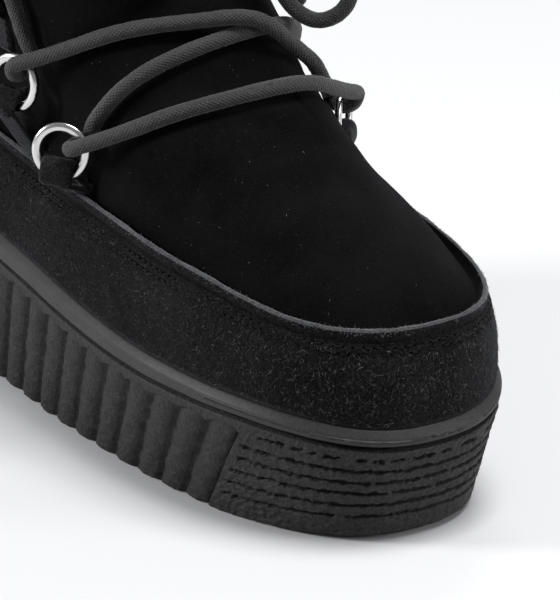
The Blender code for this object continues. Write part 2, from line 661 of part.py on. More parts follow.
def tab_piece(name, tree, hull, frame, pair):
    """A strip of suede sewn down at its foot, up and round the ring's wire and down again."""
    c, f, u, o = frame
    side = -1 if c[0] < 0 else 1
    d = on_ring(frame, RINGS[pair, side]["tab_at"])
    tab_half = RINGS[pair, side]["tab_half"]
    wire = c + d * RING_R
    w_top = unit(np.cross(o, d))
    z = RINGS[pair, side]["foot"] or float(seam_z(side, wire[1])) + 2.4
    at = wire[1]
    for _ in range(5):  # the foot is straight behind the wire
        skin, n = skin_at(tree, side, at, z)
        level = unit(np.cross(n, (0.0, 0.0, 1.0)))
        level = level if np.dot(level, w_top) > 0 else -level
        at += np.dot(wire - skin, level) * level[1]
    mean = RING_WIRE + GAP + 0.5 + 0.5 * TAB_T
    sag = 0.4 + RING_R - math.sqrt(RING_R**2 - (0.86 * tab_half) ** 2)  # the wire curves up across the strip
    flat = lambda v: np.array([np.dot(v, o), -np.dot(v, d)])
    for lift in np.arange(0.6, 4.0, 0.1):
        foot = skin + n * lift
        across = flat(wire - foot)
        across = np.array([across[1], -across[0]]) / np.linalg.norm(across)  # towards the outside of the strip
        path = taut_band(np.array([flat(foot - wire) - 0.7 * across, flat(foot - wire) + 0.7 * across]), mean, sag)
        rings = []
        for i, (a, b) in enumerate(path):
            share = 1.0 if i in (0, len(path) - 1) else 0.0
            mid = wire + a * o - b * d + share * w_top * np.dot(foot - wire, w_top)
            t = path[min(i + 1, len(path) - 1)] - path[max(i - 1, 0)]
            t = unit(t[0] * o - t[1] * d if share == 0 else (wire - foot) * (1 if i == 0 else -1))
            w = w_top + (level - w_top) * share
            w = unit(w - np.dot(w, t) * t)
            thick = np.cross(w, t) * 0.5 * TAB_T
            half = tab_half * (0.86 + 0.14 * share)
            rings.append(np.array([mid + w * half - thick, mid + w * half + thick, mid - w * half + thick, mid - w * half - thick]))
        rows = [rings[k] + (rings[m] - rings[k]) * v for k, m in ((0, 1), (-1, -2)) for v in (0, 0.3, 0.6, 1)]
        legs = [r[i] + (r[j] - r[i]) * v for r in rows for i, j in ((0, 3), (1, 2)) for v in (0, 0.25, 0.5, 0.75, 1)]
        if min(clear_of(hull, q) for q in legs) > 0.45:
            break
    pts, faces = np.concatenate(rings), []
    for k in range(len(rings) - 1):
        for i in range(4):
            j = (i + 1) % 4
            faces.append((4 * k + i, 4 * k + j, 4 * k + 4 + j, 4 * k + 4 + i))
    faces.append((3, 2, 1, 0))
    m = 4 * (len(rings) - 1)
    faces.append((m, m + 1, m + 2, m + 3))
    return solid(name, pts, outward(pts, faces), TAB_SUEDE, sharp=50)


# ---------------------------------------------------------------- lace
def turn_round(frame, pair, first):
    """Half a turn of the lace through a ring and round its wire. first is +1 when it comes from the
    outside of the ring and leaves towards the boot."""
    c, f, u, o = frame
    d = on_ring(frame, RINGS[pair, -1 if c[0] < 0 else 1]["lace_at"])
    wire = c + d * RING_R
    r = RING_WIRE + 0.5 * LACE_D + GAP + 0.5
    return [wire + r * (first * math.cos(a) * o - math.sin(a) * d) for a in np.radians((0.0, 45.0, 90.0, 135.0, 180.0))]


def strand(tree, name, start, end, over=None, rest=3.2):
    """A strand over the instep between the turns at its two ends: on the upper, clear of it and of
    an earlier strand."""
    p = [np.array(start)]
    rows = STRANDS[name]
    for angle in np.linspace(rows[0][0], rows[-1][0], 21):
        s = float(smooth_rows(angle, column(rows, 0), column(rows, 1)))
        a = math.radians(angle)
        ray = np.array([math.sin(a), 0.0, math.cos(a)])
        hit, n, _, _ = tree.ray_cast(Vector((0.0, s, STRAND_Z)) + Vector(ray) * 90.0, Vector(-ray))
        n = np.array(n)
        p.append(np.array(hit) + (n if np.dot(n, ray) > 0 else -n) * rest)
    return settle(tree, np.array(p + [np.array(end)]), 30, over, rest)


def settle(tree, p, rounds, over=None, rest=3.2):
    """Evens a way out while it stays off the upper and off an earlier strand."""
    for _ in range(rounds):
        p[1:-1] = 0.6 * p[1:-1] + 0.2 * (p[:-2] + p[2:])
        for i in range(1, len(p) - 1):
            q, m, _, _ = tree.find_nearest(Vector(p[i]))
            q, m = np.array(q), np.array(m)
            m = m if np.dot(m, p[i] - np.array([0.0, p[i][1] + 20.0, 60.0])) > 0 else -m
            out = float(np.dot(p[i] - q, m))
            if out < rest:
                p[i] += m * (rest - out)
            if over is not None:
                v = over - p[i]
                gap = float(np.sqrt((v * v).sum(axis=1)).min())
                if gap < LACE_D + 0.9:
                    p[i] += m * (LACE_D + 0.9 - gap)
    return list(p)


def straight(tree, a, b, n, rest=3.5):
    """An even climb from a to b that rests on the upper where it has to."""
    p = np.linspace(a, b, n)
    z = p[:, 2].copy()
    for _ in range(60):
        p[1:-1] = 0.5 * p[1:-1] + 0.25 * (p[:-2] + p[2:])
        p[:, 2] = z
        for i in range(1, n - 1):
            q, m, _, _ = tree.find_nearest(Vector(p[i]))
            q, m = np.array(q), np.array(m)
            m = m if np.dot(m, p[i] - np.array([0.0, 195.0, p[i][2]])) > 0 else -m
            out = float(np.dot(p[i] - q, m))
            if out < rest:
                level = unit(m * (1, 1, 0))
                p[i] += level * (rest - out) / max(float(np.dot(level, m)), 0.3)
    return list(p)


def smooth_way(points, step):
    """Even points on a smooth curve near the given ones."""
    p = np.array(points, float)
    run = np.concatenate([[0.0], np.cumsum(np.linalg.norm(np.diff(p, axis=0), axis=1))])
    at = np.linspace(0, run[-1], max(int(run[-1] / step), 4) + 1)
    return np.stack([np.interp(at, run, p[:, k]) for k in range(3)], axis=1)


def tube(name, way, radius, sides, mat):
    """A closed round tube along the points of a way."""
    way = np.asarray(way, float)
    t = np.gradient(way, axis=0)
    t /= np.linalg.norm(t, axis=1, keepdims=True)
    side = unit(np.cross(t[0], (0.3, 0.2, 1.0)))
    rings = []
    for k in range(len(way)):
        side = unit(side - np.dot(side, t[k]) * t[k])
        other = np.cross(t[k], side)
        a = np.linspace(0, 2 * math.pi, sides, endpoint=False)[:, None]
        rings.append(way[k] + radius * (np.cos(a) * side + np.sin(a) * other))
    pts, faces = skinned(rings)
    faces = faces + [tuple(range(sides))[::-1], tuple((len(way) - 1) * sides + i for i in range(sides))]
    return solid(name, pts, outward(pts, faces), mat, sharp=70)


def lace_ways(tree, frames):
    """Ways of the tight lace: through the ankle ring, middle ring and front ring of each side, with the
    bar between the front rings and the two strands that cross above it."""
    ends = {}
    for pair, side in RINGS:
        ends[pair, side] = turn_round(frames[pair, side], pair, 1)
    bar = strand(tree, "bar", ends["front", -1][0], ends["front", 1][0])
    low = strand(tree, "low", ends["front", -1][-1], ends["middle", 1][0])
    high = strand(tree, "high", ends["middle", -1][0], ends["front", 1][-1], over=smooth_way(low, 1.0))
    rise = {side: straight(tree, ends["middle", side][-1], ends["ankle", side][-1], 9) for side in (-1, 1)}
    knot = np.array([0.0, skin_front(tree, KNOT_Z) - KNOT[1] - 0.5, KNOT_Z])
    top = {side: straight(tree, ends["ankle", side][0], knot + np.array([side * KNOT[0] * 1.12, 0.5, 0.0]), 15) for side in (-1, 1)}
    pieces = [top[-1][::-1], ends["ankle", -1], rise[-1][::-1], ends["middle", -1][::-1], high]
    pieces += [ends["front", 1][::-1], bar[::-1], ends["front", -1], low, ends["middle", 1], rise[1]]
    pieces += [ends["ankle", 1][::-1], top[1]]
    way = [pieces[0][0]]
    for p in pieces:
        way += list(p if len(p) == 5 else smooth_way(p, 7.0))[1:]
    return way, knot


def skin_front(tree, z):
    """Station of the upper's front at a height, on the middle line."""
    hit, _, _, _ = tree.ray_cast(Vector((0.0, -60.0, z)), Vector((0.0, 1.0, 0.0)))
    return hit[1]


def bow_knot(middle):
    """The tied knot, plain outside."""
    rings = []
    for t in np.linspace(-0.95, 0.95, 7):
        r = math.sqrt(1 - t * t)
        a = np.linspace(0, 2 * math.pi, 12, endpoint=False)
        rings.append(middle + np.stack([np.full(12, t * KNOT[0]), r * KNOT[1] * np.cos(a), r * KNOT[2] * np.sin(a)], axis=1))
    pts, faces = skinned(rings)
    faces = faces + [tuple(range(12))[::-1], tuple(range(6 * 12, 7 * 12))]
    return solid("bow_knot", pts, outward(pts, faces), CORD, sharp=70)


def curve_through(points, step):
    """Even points on a smooth curve through the given ones (Catmull-Rom)."""
    p = np.array(points, float)
    p = np.concatenate([[2 * p[0] - p[1]], p, [2 * p[-1] - p[-2]]])
    out = []
    for k in range(1, len(p) - 2):
        t = np.linspace(0, 1, 24, endpoint=False)[:, None]
        a, b, c, d = p[k - 1], p[k], p[k + 1], p[k + 2]
        out.append(0.5 * (2 * b + (c - a) * t + (2 * a - 5 * b + 4 * c - d) * t**2 + (3 * b - a - 3 * c + d) * t**3))
    return smooth_way(np.concatenate(out + [p[-2:-1]]), step)


def cord(name, knot):
    """A free stretch of the lace as a round tube along a curve."""
    way = place(curve_through(knot + np.array(BOW[name]), 6.0))
    centre = 0.5 * (way.min(axis=0) + way.max(axis=0))
    curve = bpy.data.curves.new(name, "CURVE")
    curve.dimensions = "3D"
    curve.bevel_depth = 0.0005 * LACE_D
    curve.bevel_resolution = 2
    curve.use_fill_caps = True
    line = curve.splines.new("POLY")
    line.points.add(len(way) - 1)
    for k, p in enumerate(way - centre):
        line.points[k].co = (*p, 1.0)
    curve.materials.append(CORD)
    obj = bpy.data.objects.new(name, curve)
    obj.location = Vector(centre)
    bpy.context.scene.collection.objects.link(obj)
    return obj


# ---------------------------------------------------------------- build
outsole()
sole_band()
insole()
upper_obj, outer_rings = upper()
tree = skin_of(outer_rings)
hull = BVHTree.FromPolygons([tuple(p) for p in np.concatenate(outer_rings)], [tuple(f) for f in outward(*skinned(outer_rings))])
frames = {key: ring_frame(tree, *key) for key in RINGS}
for (pair, side), frame in frames.items():
    which = "outer" if side < 0 else "inner"
    ring_piece(f"ring_{pair}_{which}", frame)
    tab_piece(f"tab_{pair}_{which}", tree, hull, frame, pair)
way, knot = lace_ways(hull, frames)
tube("lace_crossings", way, 0.5 * LACE_D, 8, CORD)
bow_knot(knot)
for name in BOW:
    cord(name, knot)
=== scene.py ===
"""Looks of the winter boot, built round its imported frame.

The boot's surfaces are worked out again here from the same sizes and tables as its solids, in millimetres
of the last's own frame (s from the toe tip, x towards the inner side, z up), and place() turns them into
the frame's metres. Finer meshes then carry the ribs, the folded seam, stitches, nap, straps, rings and lace.
"""

import json
import math

import bpy
import numpy as np
from mathutils import Matrix, Vector
from mathutils.bvhtree import BVHTree

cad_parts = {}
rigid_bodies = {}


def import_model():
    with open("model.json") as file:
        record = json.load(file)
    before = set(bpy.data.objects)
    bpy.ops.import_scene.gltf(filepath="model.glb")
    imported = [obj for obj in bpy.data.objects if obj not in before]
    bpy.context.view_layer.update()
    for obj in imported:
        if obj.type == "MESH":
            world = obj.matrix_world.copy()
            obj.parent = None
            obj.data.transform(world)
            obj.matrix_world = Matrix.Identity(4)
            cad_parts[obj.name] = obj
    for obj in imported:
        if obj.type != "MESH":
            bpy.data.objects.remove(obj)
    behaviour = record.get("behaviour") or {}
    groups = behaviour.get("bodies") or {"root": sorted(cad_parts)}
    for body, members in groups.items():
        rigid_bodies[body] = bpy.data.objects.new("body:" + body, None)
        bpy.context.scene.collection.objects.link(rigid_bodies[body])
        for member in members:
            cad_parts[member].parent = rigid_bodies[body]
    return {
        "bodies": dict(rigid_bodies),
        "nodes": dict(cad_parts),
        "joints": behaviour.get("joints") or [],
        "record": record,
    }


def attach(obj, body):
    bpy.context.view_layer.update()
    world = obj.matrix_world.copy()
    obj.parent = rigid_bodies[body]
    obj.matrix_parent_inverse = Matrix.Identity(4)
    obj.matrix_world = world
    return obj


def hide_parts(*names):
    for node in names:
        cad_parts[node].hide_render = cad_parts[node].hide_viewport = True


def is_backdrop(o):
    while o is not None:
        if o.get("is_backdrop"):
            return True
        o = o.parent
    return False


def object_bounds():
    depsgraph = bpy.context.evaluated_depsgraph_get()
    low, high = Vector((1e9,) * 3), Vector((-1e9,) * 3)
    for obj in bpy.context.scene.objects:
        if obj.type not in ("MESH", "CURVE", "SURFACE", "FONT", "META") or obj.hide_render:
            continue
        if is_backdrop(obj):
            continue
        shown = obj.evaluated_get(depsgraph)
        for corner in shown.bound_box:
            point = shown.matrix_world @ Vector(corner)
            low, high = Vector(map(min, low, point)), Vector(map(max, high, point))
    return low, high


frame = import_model()
cad_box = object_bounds()
scene = bpy.context.scene


# ---------------------------------------------------------------- sizes of the boot, mm, as in its construction
LENGTH = 270.0        # sole band, toe tip to heel
CENTRE_X = -0.77      # middle of the boot's width, measured from the last's axis
CENTRE_S = 135.0      # middle of its length
WALL = 3.0            # suede and warm lining together
GAP = 0.3             # clearance between pieces that touch
TOE_BIAS = -1.2       # sideways lean of the toe tip
DRAFT = 9.3           # how far the sole's wall leans in from lip to floor, at the toe
DRAFT_LOSS = 3.8      # the draft is this much less 100 mm further back
FLUTE_DEPTH = 1.7
FLUTE_SLANT = 15.5    # the ribs lean this far back between lip and floor
FLUTES = 19           # ribs on each side
BUMPER_ARC = 58.0     # plain toe bumper, from the toe tip along the lip to the first rib
LIP_INSET = 0.1
TOE_SPRING = 2.2
TREAD_DEPTH = 3.0
BAND_NECK = 2.6       # depth of the dark groove under the sole band
AROUND = 29           # steps round one side of the upper
VAMP_SHARES = (0.04, 0.1, 0.18, 0.27, 0.36, 0.46, 0.56, 0.66, 0.77, 0.88, 1.0)
RAND_FOOT = 1.2       # the suede stands this far in from the sole band's edge
INSOLE = 4.6
LACE_D = 5.0
TAB_T = 1.1
KNOT_Z = 166.0
KNOT = (6.4, 4.6, 5.4)  # half sizes
ARCH_FROM, ARCH_TO, ARCH_RISE, ARCH_HALF = 134.0, 184.0, 2.4, 25.0
TREAD_ROWS = ((40.0, 2.4), (54.0, 2.4), (68.0, 2.4), (96.0, 2.4), (110.0, 2.4), (124.0, 2.4), (192.0, 2.4), (206.0, 2.4), (242.0, 2.4))
RING_R = 7.8          # ring, centre of the wire
RING_WIRE = 1.3       # wire radius
COLLAR_Z = 198.0

# one row for each side of the sole band: widest half width and its station, toe curve powers,
# waist half width and station, heel half width and station
SIDE_COLUMNS = ("ball", "ball_s", "toe_p", "toe_q", "waist", "waist_s", "heel", "heel_s")
SIDES = {
    -1: dict(zip(SIDE_COLUMNS, (49.7, 99.7, 2.17, 2.23, 43.2, 230.0, 40.0, 246.0))),
    +1: dict(zip(SIDE_COLUMNS, (50.9, 81.2, 2.53, 2.36, 39.6, 176.0, 36.5, 234.0))),
}

# heights along the length: station, top of the outsole's lip, height of the band above it
LEVEL_ROWS = (
    # s     lip    band
    (0.0, 30.5, 6.4),
    (10.0, 31.9, 6.6),
    (21.0, 33.2, 6.8),
    (38.0, 34.6, 7.1),
    (60.0, 35.3, 7.6),
    (86.0, 35.9, 8.3),
    (112.0, 37.2, 8.8),
    (138.0, 39.3, 9.2),
    (165.0, 41.8, 9.4),
    (200.0, 44.2, 9.4),
    (235.0, 45.4, 9.4),
    (270.0, 46.0, 9.4),
)

# the raised seam round the foot: station, height outer side, height inner side, inset from the band
SEAM_ROWS = (
    # s     outer  inner  inset
    (0.0, 66.2, 66.2, 3.6),
    (12.0, 66.5, 66.0, 3.8),
    (24.0, 67.5, 66.0, 4.2),
    (40.0, 70.2, 67.2, 4.7),
    (60.0, 73.4, 69.4, 5.0),
    (80.0, 75.2, 71.8, 5.0),
    (100.0, 77.1, 74.4, 5.0),
    (120.0, 78.4, 76.6, 5.0),
    (150.0, 79.6, 78.8, 5.0),
    (200.0, 82.3, 82.0, 5.0),
    (270.0, 84.0, 84.0, 4.6),
)

# the upper above the seam, one row for each loop round the foot: front and back point, half width to
# the outer and inner side, station of the widest place, sideways shift of the front, curve powers
LOOP_COLUMNS = ("front_s", "front_z", "back_s", "back_z", "outer", "inner", "wide_s", "crown_x", "nose", "tail")
LOOPS = (
    (6.6, 64.2, 262.4, 82.0, 41.7, 42.9, 92.0, -1.0, 2.25, 2.3),
    (15.5, 72.0, 263.6, 91.0, 41.2, 40.2, 104.0, -0.8, 2.0, 2.3),
    (36.5, 82.0, 264.2, 100.0, 40.0, 37.0, 124.0, -0.6, 1.95, 2.3),
    (60.5, 93.2, 263.4, 108.5, 39.2, 36.4, 143.0, 0.2, 1.98, 2.3),
    (85.0, 106.0, 261.6, 117.5, 38.8, 37.4, 160.0, 2.2, 2.05, 2.25),
    (108.5, 118.5, 259.4, 127.5, 38.8, 38.0, 176.0, 4.2, 2.1, 2.2),
    (126.0, 132.5, 257.8, 139.0, 39.2, 39.2, 188.0, 4.6, 2.1, 2.15),
    (136.5, 150.0, 257.4, 153.0, 40.2, 40.2, 196.0, 3.6, 2.1, 2.1),
    (141.0, 168.0, 258.6, 168.0, 41.6, 41.6, 199.0, 2.3, 2.1, 2.1),
    (142.5, 184.0, 260.6, 183.0, 43.0, 43.0, 201.0, 1.2, 2.1, 2.1),
    (142.0, COLLAR_Z, 262.6, COLLAR_Z - 3.0, 44.2, 44.2, 202.0, 0.0, 2.1, 2.1),
)

# side rings, a row for each ring: station, height, stand-off of its centre from the upper, turn
# forward and lean inward in degrees, place of the suede tab and of the lace round the ring (degrees
# from straight up, towards the toe), height of the tab's foot (0: on the seam), half width of the tab
RING_COLUMNS = ("s", "z", "off", "turn", "lean", "tab_at", "lace_at", "foot", "tab_half")
RINGS = {
    ("front", -1): dict(zip(RING_COLUMNS, (131.8, 88.3, 10.9, 45.0, 2.0, 188.0, 66.0, 81.0, 6.2))),
    ("front", +1): dict(zip(RING_COLUMNS, (120.5, 90.0, 10.4, 44.0, 0.0, 184.0, 8.0, 82.6, 5.6))),
    ("middle", -1): dict(zip(RING_COLUMNS, (164.0, 107.5, 9.8, 24.0, 2.0, 195.0, 28.0, 0.0, 5.2))),
    ("middle", +1): dict(zip(RING_COLUMNS, (157.0, 103.5, 10.4, 26.0, 0.0, 190.0, 24.0, 0.0, 5.2))),
    ("ankle", -1): dict(zip(RING_COLUMNS, (188.0, 142.0, 8.4, 8.0, 0.0, 190.0, 95.0, 122.0, 4.4))),
    ("ankle", +1): dict(zip(RING_COLUMNS, (186.0, 141.0, 8.4, 8.0, 0.0, 190.0, 95.0, 121.0, 4.4))),
}

# strands of the lace over the instep, outer side to inner side: angle round the foot from straight up
# about a point STRAND_Z high, and station
STRAND_Z = 85.0
STRAND_COLUMNS = ("angle", "s")
STRANDS = {
    "bar": ((-72, 117.0), (-62, 105.0), (-50, 99.6), (-36, 97.4), (-18, 95.4), (0, 94.9), (18, 95.6), (34, 97.8), (50, 102.0), (64, 109.0)),
    "low": ((-68, 126.0), (-58, 123.6), (-48, 121.0), (-36, 118.6), (-22, 116.6), (-8, 114.9), (5, 114.3), (18, 116.0), (34, 124.0), (48, 136.0), (60, 147.0)),
    "high": ((-62, 158.0), (-50, 149.5), (-40, 140.5), (-30, 132.5), (-19, 126.0), (-7, 121.2), (6, 117.4), (18, 114.8), (32, 112.6), (46, 112.0), (60, 113.5), (70, 116.5)),
}

# loops and ends of the bow, as steps from the knot: sideways, along, up
BOW = {
    "bow_loop_inner": (
        (6.2, -5.2, -2.4), (13.0, -10.5, -11.0), (18.5, -14.5, -23.0), (23.5, -18.5, -34.0), (29.0, -24.0, -38.5),
        (34.5, -29.0, -36.0), (37.5, -31.5, -29.0), (36.0, -29.5, -20.0), (28.0, -23.0, -9.0), (17.0, -14.0, -0.5), (8.2, -6.2, 3.6),
    ),
    "bow_loop_outer": (
        (-7.2, -5.4, -2.0), (-15.6, -5.2, -2.9), (-23.8, -0.9, -6.2), (-31.2, 5.9, -11.2), (-37.6, 13.4, -15.3), (-42.8, 21.4, -16.2),
        (-45.4, 27.8, -11.9), (-46.0, 30.0, -3.2), (-43.9, 26.6, 5.4), (-39.2, 19.2, 10.0), (-32.4, 10.4, 11.0), (-24.8, 2.4, 9.8),
        (-16.6, -3.0, 7.6), (-8.2, -5.0, 5.8),
    ),
    "lace_end_inner": ((2.6, -4.6, -7.6), (9.0, -4.6, -16.5), (17.5, -7.0, -25.5), (26.0, -10.0, -32.5), (33.0, -12.0, -36.0)),
    "lace_end_outer": ((-3.4, -4.4, -7.6), (-9.0, -6.0, -13.0), (-17.0, -6.4, -18.0), (-26.0, -3.4, -21.5), (-34.0, 3.6, -23.5), (-41.0, 12.0, -24.5)),
}


# ---------------------------------------------------------------- its shape
def smooth_rows(x, xs, ys):
    """A smooth curve through table rows that never overshoots them (monotone cubic)."""
    xs, ys = np.asarray(xs, float), np.asarray(ys, float)
    h, d = np.diff(xs), np.diff(ys) / np.diff(xs)
    m = np.zeros(len(xs))
    m[0], m[-1] = d[0], d[-1]
    for i in range(1, len(xs) - 1):
        if d[i - 1] * d[i] > 0:
            w1, w2 = 2 * h[i] + h[i - 1], h[i] + 2 * h[i - 1]
            m[i] = (w1 + w2) / (w1 / d[i - 1] + w2 / d[i])
    x = np.clip(np.asarray(x, float), xs[0], xs[-1])
    i = np.clip(np.searchsorted(xs, x, side="right") - 1, 0, len(xs) - 2)
    t = (x - xs[i]) / h[i]
    return (
        ys[i] * (1 + 2 * t) * (1 - t) ** 2
        + m[i] * h[i] * t * (1 - t) ** 2
        + ys[i + 1] * t * t * (3 - 2 * t)
        + m[i + 1] * h[i] * t * t * (t - 1)
    )


def column(rows, i):
    return [r[i] for r in rows]


def ease(t):
    t = np.clip(t, 0.0, 1.0)
    return t * t * (3 - 2 * t)


def lip_z(s):
    return smooth_rows(s, column(LEVEL_ROWS, 0), column(LEVEL_ROWS, 1))


def band_top_z(s):
    return lip_z(s) + smooth_rows(s, column(LEVEL_ROWS, 0), column(LEVEL_ROWS, 2))


def seam_z(side, s):
    return smooth_rows(s, column(SEAM_ROWS, 0), column(SEAM_ROWS, 1 if side < 0 else 2))


def seam_inset(s):
    return smooth_rows(s, column(SEAM_ROWS, 0), column(SEAM_ROWS, 3))


def floor_z(s):
    """Underside of the sole: flat, with toe spring and a slightly bevelled heel."""
    return TOE_SPRING * np.clip(1 - s / 58.0, 0, 1) ** 2 + 1.2 * np.clip((s - 246.0) / 24.0, 0, 1) ** 2


def half_width(side, s):
    k = SIDES[side]
    s = np.asarray(s, float)
    toe = k["ball"] * (1 - np.clip(1 - s / k["ball_s"], 0, 1) ** k["toe_p"]) ** (1 / k["toe_q"])
    waist = k["ball"] + (k["waist"] - k["ball"]) * ease((s - k["ball_s"]) / (k["waist_s"] - k["ball_s"]))
    heel = k["waist"] + (k["heel"] - k["waist"]) * ease((s - k["waist_s"]) / (k["heel_s"] - k["waist_s"]))
    end = k["heel"] * np.clip(1 - np.clip((s - k["heel_s"]) / (LENGTH - k["heel_s"]), 0, 1) ** 2.2, 0, 1) ** (1 / 2.2)
    return np.where(s < k["ball_s"], toe, np.where(s < k["waist_s"], waist, np.where(s < k["heel_s"], heel, end)))


def edge(side, n=900):
    """The band's outline on one side, toe tip to heel, as dense points (x, s)."""
    t = np.linspace(0, 1, n)
    s = LENGTH * (0.5 - 0.5 * np.cos(math.pi * t)) ** 1.0
    s[0], s[-1] = 0.0, LENGTH
    lean = TOE_BIAS * np.clip(1 - s / 110.0, 0, 1) ** 1.6
    return np.stack([lean + side * half_width(side, s), s], axis=1)


def outline(inset=0.0, n=900):
    """The whole outline moved in by a distance: both sides as (x, s), toe tip to heel each."""
    a, b = edge(-1, n), edge(+1, n)
    ring = np.concatenate([a, b[-2:0:-1]])
    step = np.roll(ring, -1, axis=0) - np.roll(ring, 1, axis=0)
    step /= np.linalg.norm(step, axis=1, keepdims=True)
    inward = np.stack([step[:, 1], -step[:, 0]], axis=1)  # the ring runs toe, outer side, heel, inner side
    d = np.broadcast_to(inset(ring[:, 1]) if callable(inset) else float(inset), len(ring))
    ring = ring + inward * d[:, None]
    return ring[:n], np.concatenate([ring[:1], ring[n:][::-1], ring[n - 1 : n]])


def by_arc(line, where):
    """Points of a line at the given distances along it (distance counts from its start)."""
    run = np.concatenate([[0.0], np.cumsum(np.linalg.norm(np.diff(line, axis=0), axis=1))])
    return np.stack([np.interp(where, run, line[:, k]) for k in range(line.shape[1])], axis=1)


def arc_length(line):
    return float(np.linalg.norm(np.diff(line, axis=0), axis=1).sum())


def loop_values(w):
    """The loop table's columns at height share w, 0 at the seam and 1 at the collar."""
    rows = np.array(LOOPS, float)
    run = np.concatenate([[0.0], np.cumsum(np.hypot(np.diff(rows[:, 0]), np.diff(rows[:, 1])))])
    return {c: float(smooth_rows(w, run / run[-1], rows[:, i])) for i, c in enumerate(LOOP_COLUMNS)}


def stations(front, back, u):
    return front + (back - front) * (0.5 - 0.5 * np.cos(math.pi * u))


def free_loop(side, w, u):
    """Points (x, s, z) of the loop at height share w; u runs 0 at the front to 1 at the back."""
    k = loop_values(w)
    s = stations(k["front_s"], k["back_s"], u)
    width = k["outer"] if side < 0 else k["inner"]
    nose = (1 - np.clip((k["wide_s"] - s) / (k["wide_s"] - k["front_s"]), 0, 1) ** k["nose"]) ** (1 / k["nose"])
    t = np.clip((s - k["wide_s"]) / (k["back_s"] - k["wide_s"]), 0, 1)
    oval = width * (1 - t ** k["tail"]) ** (1 / k["tail"])
    # low loops keep the foot's own waist and heel, high loops are oval
    share = ease(w / 0.7)
    middle = k["crown_x"] * (1 - ease((s - k["front_s"]) / 70.0))
    foot = foot_width(side, s, k["back_s"]) * (1 - 0.11 * ease(w / 0.22) * ease((220.0 - s) / 60.0))
    half = nose * ((1 - share) * foot + share * oval - side * middle)
    z = k["front_z"] + (k["back_z"] - k["front_z"]) * (s - k["front_s"]) / (k["back_s"] - k["front_s"])
    return np.stack([middle + side * half, s, z], axis=1)


_foot = {}


def foot_width(side, s, back):
    """Half widths of the foot just inside the seam: level in front of the ball, then waist and heel."""
    if side not in _foot:
        line = outline(lambda s: seam_inset(s) + 3.0)[0 if side < 0 else 1]
        x = np.abs(line[:, 0])
        x[: int(np.argmax(x))] = x.max()
        _foot[side] = (line[:, 1], x)
    run, x = _foot[side]
    return np.interp(s, run * back / run[-1], x)


def seam_loop(side, u, inset, drop):
    """A loop that follows the seam: extra inset from it and height below it."""
    line = outline(lambda s: seam_inset(s) + inset)[0 if side < 0 else 1]
    s = stations(line[0, 1], line[-1, 1], u)
    x = np.interp(s, line[:, 1], line[:, 0])
    z = seam_z(side, s) - drop
    both = 0.5 * (seam_z(-1, s) + seam_z(1, s)) - drop  # the two sides meet evenly at toe and heel
    k = np.clip(u / 0.06, 0, 1) * np.clip((1 - u) / 0.06, 0, 1)
    return np.stack([x, s, both + (z - both) * k], axis=1)


def vamp_loop(side, w, u, inset=3.0, drop=2.0):
    """The upper above the seam. It starts just inside the seam and turns into the free loops."""
    start = seam_loop(side, u, inset, drop) - free_loop(side, 0.0, u)
    fade = np.clip(1 - w / 0.36, 0, 1) ** 2
    return free_loop(side, w, u) + fade * start


def rand_loop(side, share, u, bulge=1.3, shift=0.0):
    """The band of suede between sole and seam; share 0 at the sole, 1 at the seam."""
    full = lambda s: RAND_FOOT + (seam_inset(s) - RAND_FOOT) * share - bulge * 4 * share * (1 - share) + shift
    line = outline(full)[0 if side < 0 else 1]
    s = stations(line[0, 1], line[-1, 1], u)
    x = np.interp(s, line[:, 1], line[:, 0])
    low = band_top_z(s) + GAP
    top = seam_loop(side, u, 0.0, 0.0)[:, 2]
    return np.stack([x, s, low + (top - low) * share], axis=1)


def whole(loop, n):
    """Both sides of a loop joined into one closed ring of 2n points: toe, outer side, heel, inner side."""
    u = np.linspace(0, 1, n + 1)
    a, b = loop(-1, u), loop(+1, u)
    a[0] = b[0] = 0.5 * (a[0] + b[0])
    a[-1] = b[-1] = 0.5 * (a[-1] + b[-1])
    return np.concatenate([a, b[-2:0:-1]])


def place(p):
    """Last's frame in mm to the scene's frame in m."""
    p = np.asarray(p, float)
    return np.stack([p[..., 0] - CENTRE_X, p[..., 1] - CENTRE_S, p[..., 2]], axis=-1) * 0.001


def skinned(rings, first_cap=None, last_cap=None, joined=False):
    """Quads between successive closed rings of equal count. Caps are "ladder" (rung from side to side),
    or None; joined closes the last ring onto the first, for a wall."""
    n, pts, faces = len(rings[0]), np.concatenate(rings), []
    pairs = [(k, k + 1) for k in range(len(rings) - 1)]
    if joined:
        pairs.append((len(rings) - 1, 0))
    for a, b in pairs:
        for i in range(n):
            j = (i + 1) % n
            faces.append((a * n + i, a * n + j, b * n + j, b * n + i))

    def ladder(base, turned):
        h = n // 2
        for i in range(h):
            a, b = base + i, base + i + 1
            c, d = base + (n - i - 1) % n, base + (n - i) % n
            if i == 0:
                f = (a, b, c)
            elif i == h - 1:
                f = (a, b, d)
            else:
                f = (a, b, c, d)
            faces.append(f if turned else f[::-1])

    if first_cap:
        ladder(0, False)
    if last_cap:
        ladder((len(rings) - 1) * n, True)
    return pts, faces


def outward(points, faces):
    """Turns all faces round if the solid came out inside out."""
    vol = 0.0
    for f in faces:
        for k in range(1, len(f) - 1):
            vol += float(np.dot(points[f[0]], np.cross(points[f[k]], points[f[k + 1]])))
    return faces if vol > 0 else [f[::-1] for f in faces]


def level_ring(side, u, inset, height, lift=0.0):
    line = outline(inset)[0 if side < 0 else 1]
    s = stations(line[0, 1], line[-1, 1], u)
    return np.stack([np.interp(s, line[:, 1], line[:, 0]), s, height(s) + lift], axis=1)


